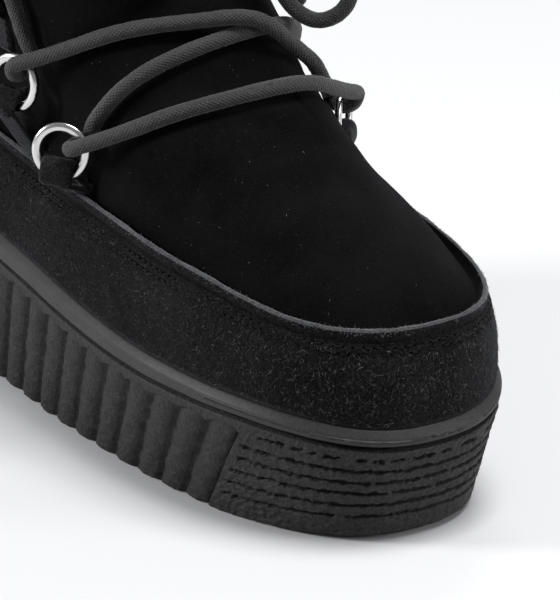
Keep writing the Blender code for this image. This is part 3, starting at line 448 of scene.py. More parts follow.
def upper_outer():
    """Rings of the outer surface from the sole band to the collar."""
    rings = [whole(lambda side, u: rand_loop(side, share, u), AROUND) for share in (0.0, 0.3, 0.62, 0.88)]
    rings.append(whole(lambda side, u: seam_loop(side, u, 0.0, 0.0), AROUND))
    rings.append(whole(lambda side, u: seam_loop(side, u, 2.0, -0.2), AROUND))
    rings.append(whole(lambda side, u: seam_loop(side, u, 2.9, 1.9), AROUND))
    for w in VAMP_SHARES:
        rings.append(whole(lambda side, u: vamp_loop(side, w, u), AROUND))
    return rings


def skin_of(outer):
    """Search tree of the outer surface, for what lies on it."""
    fine = [whole(lambda side, u: seam_loop(side, u, 2.9, 1.9), 64)]
    fine += [whole(lambda side, u: vamp_loop(side, w, u), 64) for w in np.linspace(0.0, 1.0, 41)]
    pts, faces = skinned(fine)
    return BVHTree.FromPolygons([tuple(p) for p in pts], [tuple(f) for f in faces])


def clear_of(hull, p):
    """How far a point stands outside the upper's own faces (negative inside)."""
    q, m, _, _ = hull.find_nearest(Vector(p))
    return float(np.dot(np.asarray(p) - np.array(q), np.array(m)))


def skin_at(tree, side, s, z):
    """Outer point and outward normal of the upper at a station and height on one side."""
    hit, n, _, _ = tree.ray_cast(Vector((side * 200.0, s, z)), Vector((-side, 0.0, 0.0)))
    n = np.array(n)
    return np.array(hit), (n if n[0] * side > 0 else -n)


def unit(v):
    v = np.asarray(v, float)
    return v / np.linalg.norm(v)


def ring_frame(tree, pair, side):
    """Centre, forward axis, up axis and outward axis of a ring."""
    k = RINGS[pair, side]
    p, n = skin_at(tree, side, k["s"], k["z"])
    turn, lean = math.radians(k["turn"]), math.radians(k["lean"])
    forward = np.array([-side * math.sin(turn), -math.cos(turn), 0.0])
    inward = np.array([-side * math.cos(turn), math.sin(turn), 0.0])
    up = math.cos(lean) * np.array([0, 0, 1.0]) + math.sin(lean) * inward
    out = np.cross(forward, up)
    if out[0] * side < 0:
        out = -out
    return p + n * k["off"], forward, up, out


def on_ring(frame, degrees):
    """Direction from a ring's centre, in degrees from straight up towards the toe."""
    a = math.radians(degrees)
    return math.cos(a) * frame[2] + math.sin(a) * frame[1]


def taut_band(feet, radius, rise):
    """Points of a band pulled tight from two feet round a wire at the origin and a second spot above it."""
    turn = np.linspace(0, 2 * math.pi, 12, endpoint=False)
    ring = radius / math.cos(math.pi / 12) * np.stack([np.cos(turn), np.sin(turn)], axis=1)
    p = np.concatenate([feet, ring, ring + (0.0, rise)])
    order = [0]
    while True:  # walk round the outside of all the points
        here, best = p[order[-1]], None
        for i in range(len(p)):
            if i == order[-1]:
                continue
            v = p[i] - here
            if best is None or v[0] * (p[best] - here)[1] - v[1] * (p[best] - here)[0] > 1e-9:
                best = i
        if best == 0:
            break
        order.append(best)
    path = p[order]
    return path if order[-1] == 1 else np.roll(path[::-1], 1, axis=0)


def turn_round(frame, pair, first):
    """Half a turn of the lace through a ring and round its wire. first is +1 when it comes from the
    outside of the ring and leaves towards the boot."""
    c, f, u, o = frame
    d = on_ring(frame, RINGS[pair, -1 if c[0] < 0 else 1]["lace_at"])
    wire = c + d * RING_R
    r = RING_WIRE + 0.5 * LACE_D + GAP + 0.5
    return [wire + r * (first * math.cos(a) * o - math.sin(a) * d) for a in np.radians((0.0, 45.0, 90.0, 135.0, 180.0))]


def strand(tree, name, start, end, over=None, rest=3.2):
    """A strand over the instep between the turns at its two ends: on the upper, clear of it and of
    an earlier strand."""
    p = [np.array(start)]
    rows = STRANDS[name]
    for angle in np.linspace(rows[0][0], rows[-1][0], 21):
        s = float(smooth_rows(angle, column(rows, 0), column(rows, 1)))
        a = math.radians(angle)
        ray = np.array([math.sin(a), 0.0, math.cos(a)])
        hit, n, _, _ = tree.ray_cast(Vector((0.0, s, STRAND_Z)) + Vector(ray) * 90.0, Vector(-ray))
        n = np.array(n)
        p.append(np.array(hit) + (n if np.dot(n, ray) > 0 else -n) * rest)
    return settle(tree, np.array(p + [np.array(end)]), 30, over, rest)


def settle(tree, p, rounds, over=None, rest=3.2):
    """Evens a way out while it stays off the upper and off an earlier strand."""
    for _ in range(rounds):
        p[1:-1] = 0.6 * p[1:-1] + 0.2 * (p[:-2] + p[2:])
        for i in range(1, len(p) - 1):
            q, m, _, _ = tree.find_nearest(Vector(p[i]))
            q, m = np.array(q), np.array(m)
            m = m if np.dot(m, p[i] - np.array([0.0, p[i][1] + 20.0, 60.0])) > 0 else -m
            out = float(np.dot(p[i] - q, m))
            if out < rest:
                p[i] += m * (rest - out)
            if over is not None:
                v = over - p[i]
                gap = float(np.sqrt((v * v).sum(axis=1)).min())
                if gap < LACE_D + 0.9:
                    p[i] += m * (LACE_D + 0.9 - gap)
    return list(p)


def straight(tree, a, b, n, rest=3.5):
    """An even climb from a to b that rests on the upper where it has to."""
    p = np.linspace(a, b, n)
    z = p[:, 2].copy()
    for _ in range(60):
        p[1:-1] = 0.5 * p[1:-1] + 0.25 * (p[:-2] + p[2:])
        p[:, 2] = z
        for i in range(1, n - 1):
            q, m, _, _ = tree.find_nearest(Vector(p[i]))
            q, m = np.array(q), np.array(m)
            m = m if np.dot(m, p[i] - np.array([0.0, 195.0, p[i][2]])) > 0 else -m
            out = float(np.dot(p[i] - q, m))
            if out < rest:
                level = unit(m * (1, 1, 0))
                p[i] += level * (rest - out) / max(float(np.dot(level, m)), 0.3)
    return list(p)


def smooth_way(points, step):
    """Even points on a smooth curve near the given ones."""
    p = np.array(points, float)
    run = np.concatenate([[0.0], np.cumsum(np.linalg.norm(np.diff(p, axis=0), axis=1))])
    at = np.linspace(0, run[-1], max(int(run[-1] / step), 4) + 1)
    return np.stack([np.interp(at, run, p[:, k]) for k in range(3)], axis=1)


def lace_ways(tree, frames):
    """Ways of the tight lace: through the ankle ring, middle ring and front ring of each side, with the
    bar between the front rings and the two strands that cross above it."""
    ends = {}
    for pair, side in RINGS:
        ends[pair, side] = turn_round(frames[pair, side], pair, 1)
    bar = strand(tree, "bar", ends["front", -1][0], ends["front", 1][0])
    low = strand(tree, "low", ends["front", -1][-1], ends["middle", 1][0])
    high = strand(tree, "high", ends["middle", -1][0], ends["front", 1][-1], over=smooth_way(low, 1.0))
    rise = {side: straight(tree, ends["middle", side][-1], ends["ankle", side][-1], 9) for side in (-1, 1)}
    knot = np.array([0.0, skin_front(tree, KNOT_Z) - KNOT[1] - 0.5, KNOT_Z])
    top = {side: straight(tree, ends["ankle", side][0], knot + np.array([side * KNOT[0] * 1.12, 0.5, 0.0]), 15) for side in (-1, 1)}
    pieces = [top[-1][::-1], ends["ankle", -1], rise[-1][::-1], ends["middle", -1][::-1], high]
    pieces += [ends["front", 1][::-1], bar[::-1], ends["front", -1], low, ends["middle", 1], rise[1]]
    pieces += [ends["ankle", 1][::-1], top[1]]
    way = [pieces[0][0]]
    for p in pieces:
        way += list(p if len(p) == 5 else smooth_way(p, 7.0))[1:]
    return way, knot


def skin_front(tree, z):
    """Station of the upper's front at a height, on the middle line."""
    hit, _, _, _ = tree.ray_cast(Vector((0.0, -60.0, z)), Vector((0.0, 1.0, 0.0)))
    return hit[1]


def curve_through(points, step):
    """Even points on a smooth curve through the given ones (Catmull-Rom)."""
    p = np.array(points, float)
    p = np.concatenate([[2 * p[0] - p[1]], p, [2 * p[-1] - p[-2]]])
    out = []
    for k in range(1, len(p) - 2):
        t = np.linspace(0, 1, 24, endpoint=False)[:, None]
        a, b, c, d = p[k - 1], p[k], p[k + 1], p[k + 2]
        out.append(0.5 * (2 * b + (c - a) * t + (2 * a - 5 * b + 4 * c - d) * t**2 + (3 * b - a - 3 * c + d) * t**3))
    return smooth_way(np.concatenate(out + [p[-2:-1]]), step)


# ---------------------------------------------------------------- camera, set first
def set_camera():
    """The photo's own view: azimuth, elevation, roll and distance from the fitted outlines."""
    target = (np.array([-28.72, 35.57, 70.37]) - (CENTRE_X, CENTRE_S, 0.0)) / 1000
    a, e, r = np.radians([-30.54, 19.12, -0.44])
    back = np.array([math.sin(a) * math.cos(e), -math.cos(a) * math.cos(e), math.sin(e)])
    right = np.array([math.cos(a), math.sin(a), 0.0])
    up = np.cross(back, right)
    x = math.cos(r) * right + math.sin(r) * up
    y = -math.sin(r) * right + math.cos(r) * up
    at = target + back * 1.41831
    cam = bpy.data.cameras.new("camera")
    cam.sensor_width, cam.lens, cam.clip_end = 36.0, 4904.17 * 36.0 / 600.0, 20.0
    obj = bpy.data.objects.new("camera", cam)
    obj.matrix_world = Matrix([[x[0], y[0], back[0], at[0]], [x[1], y[1], back[1], at[1]], [x[2], y[2], back[2], at[2]], [0, 0, 0, 1]])
    scene.collection.objects.link(obj)
    scene.camera = obj


set_camera()

# ---------------------------------------------------------------- noise, fixed by its seed
def lattice(ix, iy, iz, seed):
    h = (ix * 374761393 + iy * 668265263 + iz * 2147483647 + seed * 974634777) & 0xFFFFFFFF
    h = ((h ^ (h >> 13)) * 1274126177) & 0xFFFFFFFF
    return ((h ^ (h >> 16)) & 0xFFFFFF) / float(0xFFFFFF)


def noise(p, size, seed=1):
    """Smooth value noise from -1 to 1 at points in mm, with features about size mm wide."""
    q = np.asarray(p, float) / size
    q = q.reshape(-1, q.shape[-1])
    if q.shape[1] == 2:
        q = np.column_stack([q, np.zeros(len(q))])
    i = np.floor(q).astype(np.int64)
    f = q - i
    f = f * f * (3 - 2 * f)
    v = 0.0
    for dx in (0, 1):
        for dy in (0, 1):
            for dz in (0, 1):
                w = (f[:, 0] if dx else 1 - f[:, 0]) * (f[:, 1] if dy else 1 - f[:, 1]) * (f[:, 2] if dz else 1 - f[:, 2])
                v = v + w * lattice(i[:, 0] + dx, i[:, 1] + dy, i[:, 2] + dz, seed)
    return (v * 2 - 1).reshape(np.asarray(p).shape[:-1])


# ---------------------------------------------------------------- materials
def shader(name, base, rough, metal=0.0, coat=0.0, coat_rough=0.3, sheen=0.0, sheen_rough=0.5, sheen_tint=(1, 1, 1), specular=0.5):
    m = bpy.data.materials.new(name)
    m.use_nodes = True
    b = m.node_tree.nodes["Principled BSDF"]
    b.inputs["Base Color"].default_value = (*base, 1.0)
    b.inputs["Roughness"].default_value = rough
    b.inputs["Metallic"].default_value = metal
    b.inputs["Coat Weight"].default_value = coat
    b.inputs["Coat Roughness"].default_value = coat_rough
    b.inputs["Sheen Weight"].default_value = sheen
    b.inputs["Sheen Roughness"].default_value = sheen_rough
    b.inputs["Sheen Tint"].default_value = (*sheen_tint, 1.0)
    b.inputs["Specular IOR Level"].default_value = specular
    return m


def add_noise(m, scale, detail=4.0, rough=0.55, stretch=None, distort=0.0):
    t = m.node_tree
    n = t.nodes.new("ShaderNodeTexNoise")
    n.inputs["Scale"].default_value = scale
    n.inputs["Detail"].default_value = detail
    n.inputs["Roughness"].default_value = rough
    n.inputs["Distortion"].default_value = distort
    c = t.nodes.new("ShaderNodeTexCoord")
    if stretch:
        k = t.nodes.new("ShaderNodeMapping")
        k.inputs["Scale"].default_value = stretch
        t.links.new(c.outputs["Object"], k.inputs["Vector"])
        t.links.new(k.outputs["Vector"], n.inputs["Vector"])
    else:
        t.links.new(c.outputs["Object"], n.inputs["Vector"])
    return n.outputs["Fac"]


def ramp(m, value, stops):
    t = m.node_tree
    r = t.nodes.new("ShaderNodeValToRGB")
    while len(r.color_ramp.elements) > 2:
        r.color_ramp.elements.remove(r.color_ramp.elements[-1])
    for k, (at, colour) in enumerate(stops):
        e = r.color_ramp.elements[k] if k < 2 else r.color_ramp.elements.new(at)
        e.position, e.color = at, (*colour, 1.0)
    t.links.new(value, r.inputs["Fac"])
    return r.outputs["Color"]


def mix(m, fac, a, b, kind="MIX"):
    t = m.node_tree
    n = t.nodes.new("ShaderNodeMix")
    n.data_type, n.blend_type = "RGBA", kind
    if isinstance(fac, float):
        n.inputs["Factor"].default_value = fac
    else:
        t.links.new(fac, n.inputs["Factor"])
    t.links.new(a, n.inputs["A"])
    t.links.new(b, n.inputs["B"])
    return n.outputs["Result"]


def paint(m, colour):
    m.node_tree.links.new(colour, m.node_tree.nodes["Principled BSDF"].inputs["Base Color"])


def gloss(m, value, low, high):
    t = m.node_tree
    n = t.nodes.new("ShaderNodeMapRange")
    n.inputs["To Min"].default_value, n.inputs["To Max"].default_value = low, high
    t.links.new(value, n.inputs["Value"])
    t.links.new(n.outputs["Result"], t.nodes["Principled BSDF"].inputs["Roughness"])


def bump(m, heights):
    """Stacks bumps: each is (height, strength, distance in metres)."""
    t, normal = m.node_tree, None
    for height, strength, distance in heights:
        n = t.nodes.new("ShaderNodeBump")
        n.inputs["Strength"].default_value = strength
        n.inputs["Distance"].default_value = distance
        t.links.new(height, n.inputs["Height"])
        if normal is not None:
            t.links.new(normal, n.inputs["Normal"])
        normal = n.outputs["Normal"]
    t.links.new(normal, t.nodes["Principled BSDF"].inputs["Normal"])


def grey(v, blue=0.03):
    return (v, v, v * (1 + blue))


def ramp_factor(m, value, low, high):
    n = m.node_tree.nodes.new("ShaderNodeMapRange")
    n.inputs["From Min"].default_value, n.inputs["From Max"].default_value = low, high
    m.node_tree.links.new(value, n.inputs["Value"])
    return n.outputs["Result"]


def times(m, value, by):
    n = m.node_tree.nodes.new("ShaderNodeMath")
    n.operation = "MULTIPLY"
    n.inputs[1].default_value = by
    m.node_tree.links.new(value, n.inputs[0])
    return n.outputs[0]


def suede(name, dark, light, sheen, fine, nap, dust=0.0, specular=0.12):
    """Suede: a speckled nap over slow patches of brushed and unbrushed pile."""
    m = shader(name, grey(light), 0.95, sheen=sheen, sheen_rough=0.4, sheen_tint=(0.9, 0.93, 1.0), specular=specular)
    speck = add_noise(m, fine, 6.0, 0.7)
    patch = add_noise(m, 38.0, 3.0, 0.6)
    pile = add_noise(m, fine * 0.42, 3.0, 0.6, stretch=(1.0, 0.45, 1.0), distort=0.6)
    a = ramp(m, speck, [(0.38, grey(dark)), (0.60, grey(light))])
    b = ramp(m, speck, [(0.38, grey(dark * 0.55)), (0.64, grey(light * 0.5))])
    base = mix(m, ramp_factor(m, patch, 0.36, 0.64), a, b)
    if dust:
        spots = ramp_factor(m, add_noise(m, 2700.0, 1.0, 0.4), 0.735, 0.79)
        cloud = ramp_factor(m, add_noise(m, 16.0, 3.0, 0.6), 0.42, 0.68)
        pale = ramp(m, speck, [(0.3, grey(light * 1.2)), (0.7, grey(light * 3.2))])
        base = mix(m, times(m, cloud, 0.38), base, pale)
        base = mix(m, times(m, spots, 0.5), base, ramp(m, speck, [(0.3, grey(dust)), (0.7, grey(dust * 1.6))]))
    paint(m, base)
    bump(m, [(pile, nap, 0.0005), (speck, nap * 0.8, 0.00025)])
    return m


RAND_SUEDE = suede("rand_suede", 0.0015, 0.014, 0.07, 1300.0, 0.9, specular=0.05)
# the top of the folded seam: the same suede painted lighter, a painted highlight
RIDGE_HIGHLIGHT_SUEDE = suede("ridge_suede_painted_highlight", 0.034, 0.105, 0.3, 1500.0, 0.4)
VAMP_SUEDE = suede("vamp_suede", 0.0016, 0.0042, 0.03, 2100.0, 0.3, dust=0.05, specular=0.02)
STRAP_SUEDE = suede("strap_suede", 0.004, 0.026, 0.12, 1300.0, 0.9, specular=0.08)


def fibre_material(name, value):
    m = shader(name, grey(value), 0.8, specular=0.3)
    n = add_noise(m, 300.0, 2.0)
    paint(m, ramp(m, n, [(0.3, grey(value * 0.5)), (0.7, grey(value * 1.3))]))
    return m


def rubber(name, dark, light, rough, grain, strength, coat=0.0):
    m = shader(name, grey(light), rough, coat=coat, coat_rough=0.35, specular=0.28)
    fine = add_noise(m, grain, 5.0, 0.65)
    slow = add_noise(m, 45.0, 3.0, 0.6)
    a = ramp(m, fine, [(0.35, grey(dark)), (0.65, grey(light))])
    b = ramp(m, fine, [(0.35, grey(dark * 0.8)), (0.65, grey(light * 0.85))])
    paint(m, mix(m, slow, a, b))
    gloss(m, slow, rough - 0.06, rough + 0.08)
    bump(m, [(add_noise(m, grain * 0.45, 3.0, 0.6), strength, 0.0006), (fine, strength * 0.7, 0.00025)])
    return m


def paint_shade_and_highlight(m):
    """Painted shade and highlight: a value from the mesh multiplies the colour, darker in the grooves and rib valleys,
    lighter along the lip, 1 on the open surface.
    """
    t = m.node_tree
    b = t.nodes["Principled BSDF"]
    was = b.inputs["Base Color"].links[0].from_socket
    # the mesh attribute open holds the painted shade and highlight
    at = t.nodes.new("ShaderNodeAttribute")
    at.attribute_name = "open"
    n = t.nodes.new("ShaderNodeMix")
    n.data_type, n.blend_type = "RGBA", "MULTIPLY"
    n.inputs["Factor"].default_value = 1.0
    t.links.new(was, n.inputs["A"])
    t.links.new(at.outputs["Color"], n.inputs["B"])
    t.links.new(n.outputs["Result"], b.inputs["Base Color"])


WALL_RUBBER = rubber("wall_rubber", 0.004, 0.029, 0.66, 1400.0, 1.0)
# painted shade in the wall's grooves and rib valleys, painted highlight at its lip
paint_shade_and_highlight(WALL_RUBBER)
BAND_RUBBER = rubber("band_satin_rubber", 0.020, 0.034, 0.52, 1100.0, 0.2)
LINING = suede("lining_cloth", 0.006, 0.016, 0.3, 1100.0, 0.6)
FELT_TOP = suede("felt", 0.008, 0.02, 0.3, 900.0, 0.8)

METAL = shader("ring_steel", (0.66, 0.65, 0.64), 0.2, metal=1.0)
gloss(METAL, add_noise(METAL, 400.0, 3.0), 0.13, 0.3)
bump(METAL, [(add_noise(METAL, 900.0, 2.0), 0.06, 0.0001)])

THREAD = shader("stitch_thread", grey(0.0035), 0.7, specular=0.15)
bump(THREAD, [(add_noise(THREAD, 4000.0, 2.0), 0.5, 0.0001)])
# near-black discs for the needle holes: painted shade
HOLE_SHADE = shader("stitch_hole_painted_shade", (0.0008, 0.0008, 0.0008), 1.0, specular=0.0)
bump(HOLE_SHADE, [(add_noise(HOLE_SHADE, 3000.0, 2.0), 0.3, 0.0001)])


def lace_material():
    """Round woven lace, a little waxed: two sets of yarns cross on the slant."""
    m = shader("woven_lace", grey(0.03), 0.62, sheen=0.15, sheen_rough=0.4, specular=0.4)
    t = m.node_tree
    uv = t.nodes.new("ShaderNodeUVMap")
    uv.uv_map = "along"
    waves = []
    for turn in (0.72, -0.72):
        k = t.nodes.new("ShaderNodeMapping")
        k.inputs["Rotation"].default_value = (0.0, 0.0, turn)
        w = t.nodes.new("ShaderNodeTexWave")
        w.inputs["Scale"].default_value = 0.36
        w.inputs["Distortion"].default_value = 0.6
        w.inputs["Detail"].default_value = 1.0
        t.links.new(uv.outputs["UV"], k.inputs["Vector"])
        t.links.new(k.outputs["Vector"], w.inputs["Vector"])
        waves.append(w.outputs["Fac"])
    top = t.nodes.new("ShaderNodeMath")
    top.operation = "MULTIPLY"
    t.links.new(waves[0], top.inputs[0])
    t.links.new(waves[1], top.inputs[1])
    fine = add_noise(m, 2600.0, 4.0)
    slow = add_noise(m, 120.0, 3.0)
    # painted shade between the yarns and painted highlight on their raised crossings, from the weave's height
    a = ramp(m, top.outputs[0], [(0.05, grey(0.007)), (0.6, grey(0.034))])
    b = ramp(m, fine, [(0.42, grey(0.009)), (0.66, grey(0.055))])
    paint(m, mix(m, 0.4, a, b))
    gloss(m, slow, 0.52, 0.75)
    bump(m, [(top.outputs[0], 0.8, 0.0003), (fine, 0.35, 0.00015)])
    return m


LACE = lace_material()


# ---------------------------------------------------------------- meshes
def piece(name, points, faces, mats, smooth=True, which=None, uv=None, replaces=(), sharp=None, painted_light_at=None):
    """A mesh from points in mm of the last's frame, riding on the root body."""
    p = place(points)
    mesh = bpy.data.meshes.new(name)
    mesh.from_pydata(p.tolist(), [], faces if isinstance(faces, list) else faces.tolist())
    for m in mats if isinstance(mats, (list, tuple)) else [mats]:
        mesh.materials.append(m)
    if which is not None:
        mesh.polygons.foreach_set("material_index", np.asarray(which, np.int32))
    if uv is not None:
        layer = mesh.uv_layers.new(name="along")
        index = np.zeros(len(mesh.loops), np.int64)
        mesh.loops.foreach_get("vertex_index", index)
        layer.data.foreach_set("uv", np.asarray(uv, np.float32)[index].ravel())
    # the painted shade and highlight go on the mesh as the attribute open
    if painted_light_at is not None:
        painted_light = mesh.color_attributes.new("open", "FLOAT_COLOR", "POINT")
        v = np.asarray(painted_light_at, np.float32)
        painted_light.data.foreach_set("color", np.stack([v, v, v, np.ones_like(v)], axis=1).ravel())
    mesh.polygons.foreach_set("use_smooth", np.full(len(mesh.polygons), smooth))
    if sharp:
        mesh.set_sharp_from_angle(angle=math.radians(sharp))
    mesh.update()
    obj = bpy.data.objects.new(name, mesh)
    scene.collection.objects.link(obj)
    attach(obj, "root")
    if replaces:
        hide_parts(*replaces)
    return obj


def grid_faces(rows, n, joined=False):
    """Quads between rows of n points each, closed round the row."""
    k = np.arange(rows - (0 if joined else 1))[:, None]
    i = np.arange(n)[None, :]
    a, b = k * n, ((k + 1) % rows) * n
    j = (i + 1) % n
    return np.stack([a + i + 0 * b, a + j + 0 * b, b + j, b + i], axis=-1).reshape(-1, 4)


def facing_out(points, faces):
    """Turns the faces round if the closed form is inside out."""
    p = np.asarray(points)
    f = np.asarray(faces)
    v = np.einsum("ij,ij->i", p[f[:, 0]], np.cross(p[f[:, 1]], p[f[:, 2]])).sum()
    v += np.einsum("ij,ij->i", p[f[:, 0]], np.cross(p[f[:, 2]], p[f[:, 3]])).sum()
    return f if v > 0 else f[:, ::-1]


def grid_normals(g, closed=True):
    """Unit normals of a grid of points, rows by columns."""
    along = (np.roll(g, -1, axis=1) - np.roll(g, 1, axis=1)) if closed else np.gradient(g, axis=1)
    up = np.gradient(g, axis=0)
    n = np.cross(up, along)
    n /= np.linalg.norm(n, axis=2, keepdims=True) + 1e-12
    centre = g.mean(axis=1, keepdims=True)
    return n * (np.sign(((g - centre) * n)[:, :, :2].sum()) or 1.0)


def round_tube(way, radius, around, cap=True, closed=False, relief=None, start=(0.3, 0.2, 1.0)):
    """Points, faces and uv (mm) of a tube along a way in mm. relief(angle share, distance) adds to the radius."""
    way = np.asarray(way, float)
    t = (np.roll(way, -1, axis=0) - np.roll(way, 1, axis=0)) if closed else np.gradient(way, axis=0)
    t /= np.linalg.norm(t, axis=1, keepdims=True)
    run = np.concatenate([[0.0], np.cumsum(np.linalg.norm(np.diff(way, axis=0), axis=1))])
    side = unit(np.cross(t[0], start))
    share = np.arange(around) / around
    c, s = np.cos(2 * math.pi * share)[:, None], np.sin(2 * math.pi * share)[:, None]
    pts = []
    radius = np.broadcast_to(radius, len(way))
    for k in range(len(way)):
        side = unit(side - np.dot(side, t[k]) * t[k])
        other = np.cross(t[k], side)
        r = radius[k] + (0 if relief is None else relief(share, run[k]))
        pts.append(way[k] + (c * side + s * other) * np.reshape(r, (-1, 1)) if relief is not None else way[k] + (c * side + s * other) * r)
    pts = np.array(pts).reshape(-1, 3)
    faces = grid_faces(len(way), around, closed).tolist()
    uv = np.stack([np.tile(share * 2 * math.pi * float(np.mean(radius)), len(way)), np.repeat(run, around)], axis=1)
    if cap and not closed:
        faces.append(list(range(around))[::-1])
        faces.append([(len(way) - 1) * around + i for i in range(around)])
    tri = np.array([f[:4] for f in faces[: -2 if cap and not closed else None]])
    v = np.einsum("ij,ij->i", pts[tri[:, 0]] - way.mean(0), np.cross(pts[tri[:, 1]] - pts[tri[:, 0]], pts[tri[:, 2]] - pts[tri[:, 0]])).sum()
    first = pts[tri[0]]
    n = np.cross(first[1] - first[0], first[2] - first[0])
    if np.dot(n, first.mean(0) - way[0]) < 0:
        faces = [f[::-1] for f in faces]
    return pts, faces, uv


# ---------------------------------------------------------------- outsole
def fine_outsole():
    """The moulded wall: slanted rounded ribs under a thin lip, arched at their tops, a rough toe bumper
    with broken level grooves, and the tread's channels and arch underneath."""
    rows, per_flute, bumper = 104, 12, 138
    share = np.linspace(0.0, 1.0, rows)
    sides, painted_lights = {}, {}
    for side in (-1, 1):
        k = 0 if side < 0 else 1
        total = arc_length(outline(LIP_INSET)[k])
        pitch = (total - BUMPER_ARC) / FLUTES
        run = np.concatenate([np.linspace(0, BUMPER_ARC, bumper)[:-1], BUMPER_ARC + pitch * np.arange(FLUTES * per_flute + 1) / per_flute])
        phase = np.where(run < BUMPER_ARC, 0.5, ((run - BUMPER_ARC) / pitch) % 1.0)
        wave = 1 - np.abs(np.sin(math.pi * phase)) ** 0.8
        grid, painted_light = [], []
        for q in share:
            slope = lambda s: LIP_INSET + (DRAFT - DRAFT_LOSS * np.minimum(s, 155.0) / 100.0) * (1 - q)
            line = outline(slope)[k]
            length = arc_length(line)
            lean = FLUTE_SLANT * (1 - q) * ease(run / 50.0) * ease((total - run) / 60.0)
            at = (run + lean) * length / total
            p = by_arc(line, at)
            d = by_arc(line, np.clip(at + 0.5, 0, length)) - by_arc(line, np.clip(at - 0.5, 0, length))
            d /= np.linalg.norm(d, axis=1, keepdims=True)
            inward = np.stack([d[:, 1], -d[:, 0]], axis=1) * (-side)
            low, top = floor_z(p[:, 1]), lip_z(p[:, 1])
            z = low + (top - low) * q
            h = top - z  # below the lip
            up = z - low
            # ribs, each with an arched ledge at its top
            start = 2.1 + 2.0 * np.abs(2 * phase - 1) ** 2.0
            fade = ease((h - start) / 0.7)
            edge_shift = 0.05 * noise(np.stack([run * side + 400.0, z], axis=1), 3.2, 17)
            wave = 1 - np.abs(np.sin(math.pi * np.clip(phase + edge_shift * np.where((phase > 0.03) & (phase < 0.97), 1, 0), 0, 1))) ** 0.62
            depth = np.where(run >= BUMPER_ARC, (0.45 + 1.3 * FLUTE_DEPTH * wave) * fade, 0.0)
            # toe bumper: six broken level grooves in pebbled rubber
            spot = np.stack([run * side + 400.0, z, np.full(len(run), 3.0 + side)], axis=1)
            inside = ease((BUMPER_ARC - 1.5 - run) / 3.0)
            along = run * side + 400.0
            spread = 1 + 1.2 * ((top - low) / (top - low)[0] - 1)
            groove = 0.0
            for n in range(6):
                flat = lambda seed: np.stack([along, np.full(len(run), 11.3 * n + seed)], axis=1)
                wobble = 0.26 * noise(flat(0.0), 2.6, 11) + 0.26 * noise(flat(3.0), 1.0, 13)
                width = 0.58 + 0.28 * noise(flat(5.0), 0.95, 14)
                faint = (0.55, 0.0, 0.0, 0.0, 0.0, 0.2)[n]
                broken = ease((0.95 + noise(flat(7.0), 2.4, 12) + 0.5 * noise(flat(9.0), 0.9, 15) - faint) / 0.35)
                rim = ease((BUMPER_ARC - 2.4 - run + 1.2 * math.sin(n * 2.1)) / 1.2)
                cut = 1 - ease((np.abs(h - (3.1 + 3.95 * n) * spread + wobble) - 0.45 * width) / (0.75 * width))
                groove = np.maximum(groove, broken * rim * cut)
            pebble = 0.26 * noise(spot, 1.0, 3) + 0.16 * noise(spot, 2.2, 4)
            depth = depth + inside * (1.25 * groove + pebble * ease(h / 1.2))
            rough = np.stack([p[:, 0], p[:, 1], z], axis=1)
            grit = 0.22 * noise(rough, 1.25, 6) + 0.26 * noise(rough, 2.9, 7)
            depth = depth + (1 - inside) * ease((h - 1.4) / 0.8) * grit
            # painted shade: darker in the bumper's grooves and pebble hollows, in the rib valleys and where the grit
            # sinks in; painted highlight along the lip's edge; also lighter along the bottom edge
            shade = 1 - 0.78 * inside * np.clip(groove, 0, 1) - 0.16 * pebble * inside * 3
            shade = shade * (1.12 - (1 - inside) * fade * (0.92 * np.clip((wave - 0.08) / 0.6, 0, 1) + 0.9 * grit))
            shade = shade * (1.0 + 0.28 * np.clip(1 - np.abs(h - 0.35) / 0.5, 0, 1)) * (1.0 + 0.2 * np.clip(1 - up / 2.0, 0, 1))
            painted_light.append(shade)
            # rounded edges at lip and floor
            depth = depth + 0.35 * np.clip(1 - h / 0.5, 0, 1) ** 2 + 1.1 * np.clip(1 - up / 1.6, 0, 1) ** 2
            p = p + inward * depth[:, None]
            grid.append(np.column_stack([p, z]))
        sides[side], painted_lights[side] = np.array(grid), np.array(painted_light)
    a, b = sides[-1], sides[1]
    for e in (0, -1):
        a[:, e] = b[:, e] = 0.5 * (a[:, e] + b[:, e])
    g = np.concatenate([a, b[:, -2:0:-1]], axis=1)
    painted_light = np.concatenate([painted_lights[-1], painted_lights[1][:, -2:0:-1]], axis=1).ravel()
    r, n = g.shape[:2]
    pts = g.reshape(-1, 3)
    quads = grid_faces(r, n)
    # the tread: lines across from side to side
    h = a.shape[1]
    across = 28
    under = []
    for t in np.linspace(0, 1, across + 1)[1:-1]:
        q = a[0] * (1 - t) + b[0] * t
        x, s = q[:, 0], q[:, 1]
        z = floor_z(s)
        for row, deep in TREAD_ROWS:
            half = float(min(half_width(-1, row), half_width(1, row))) - 19.0
            z = z + deep * ease((1.9 - np.abs(s - row)) / 0.5) * ease((half - np.abs(x)) / 2.0)
        bend = np.clip((s - ARCH_FROM) / (ARCH_TO - ARCH_FROM), 0, 1)
        z = np.maximum(z, ARCH_RISE * np.sin(math.pi * bend) ** 0.7 * ease((ARCH_HALF + 1 - np.abs(x)) / 2.0))
        q = q.copy()
        q[:, 2] = z
        under.append(q[1:-1])
    base = len(pts)
    pts = np.concatenate([pts] + under)
    # the tread underneath gets a flat 0.8 in the same painted value
    painted_light = np.concatenate([painted_light, np.full(len(pts) - len(painted_light), 0.8)])
    m = h - 2

    def at(t, i):
        if t == 0:
            return i
        if t == across:
            return (n - i) % n if i not in (0, h - 1) else i
        if i in (0, h - 1):
            return i
        return base + (t - 1) * m + i - 1

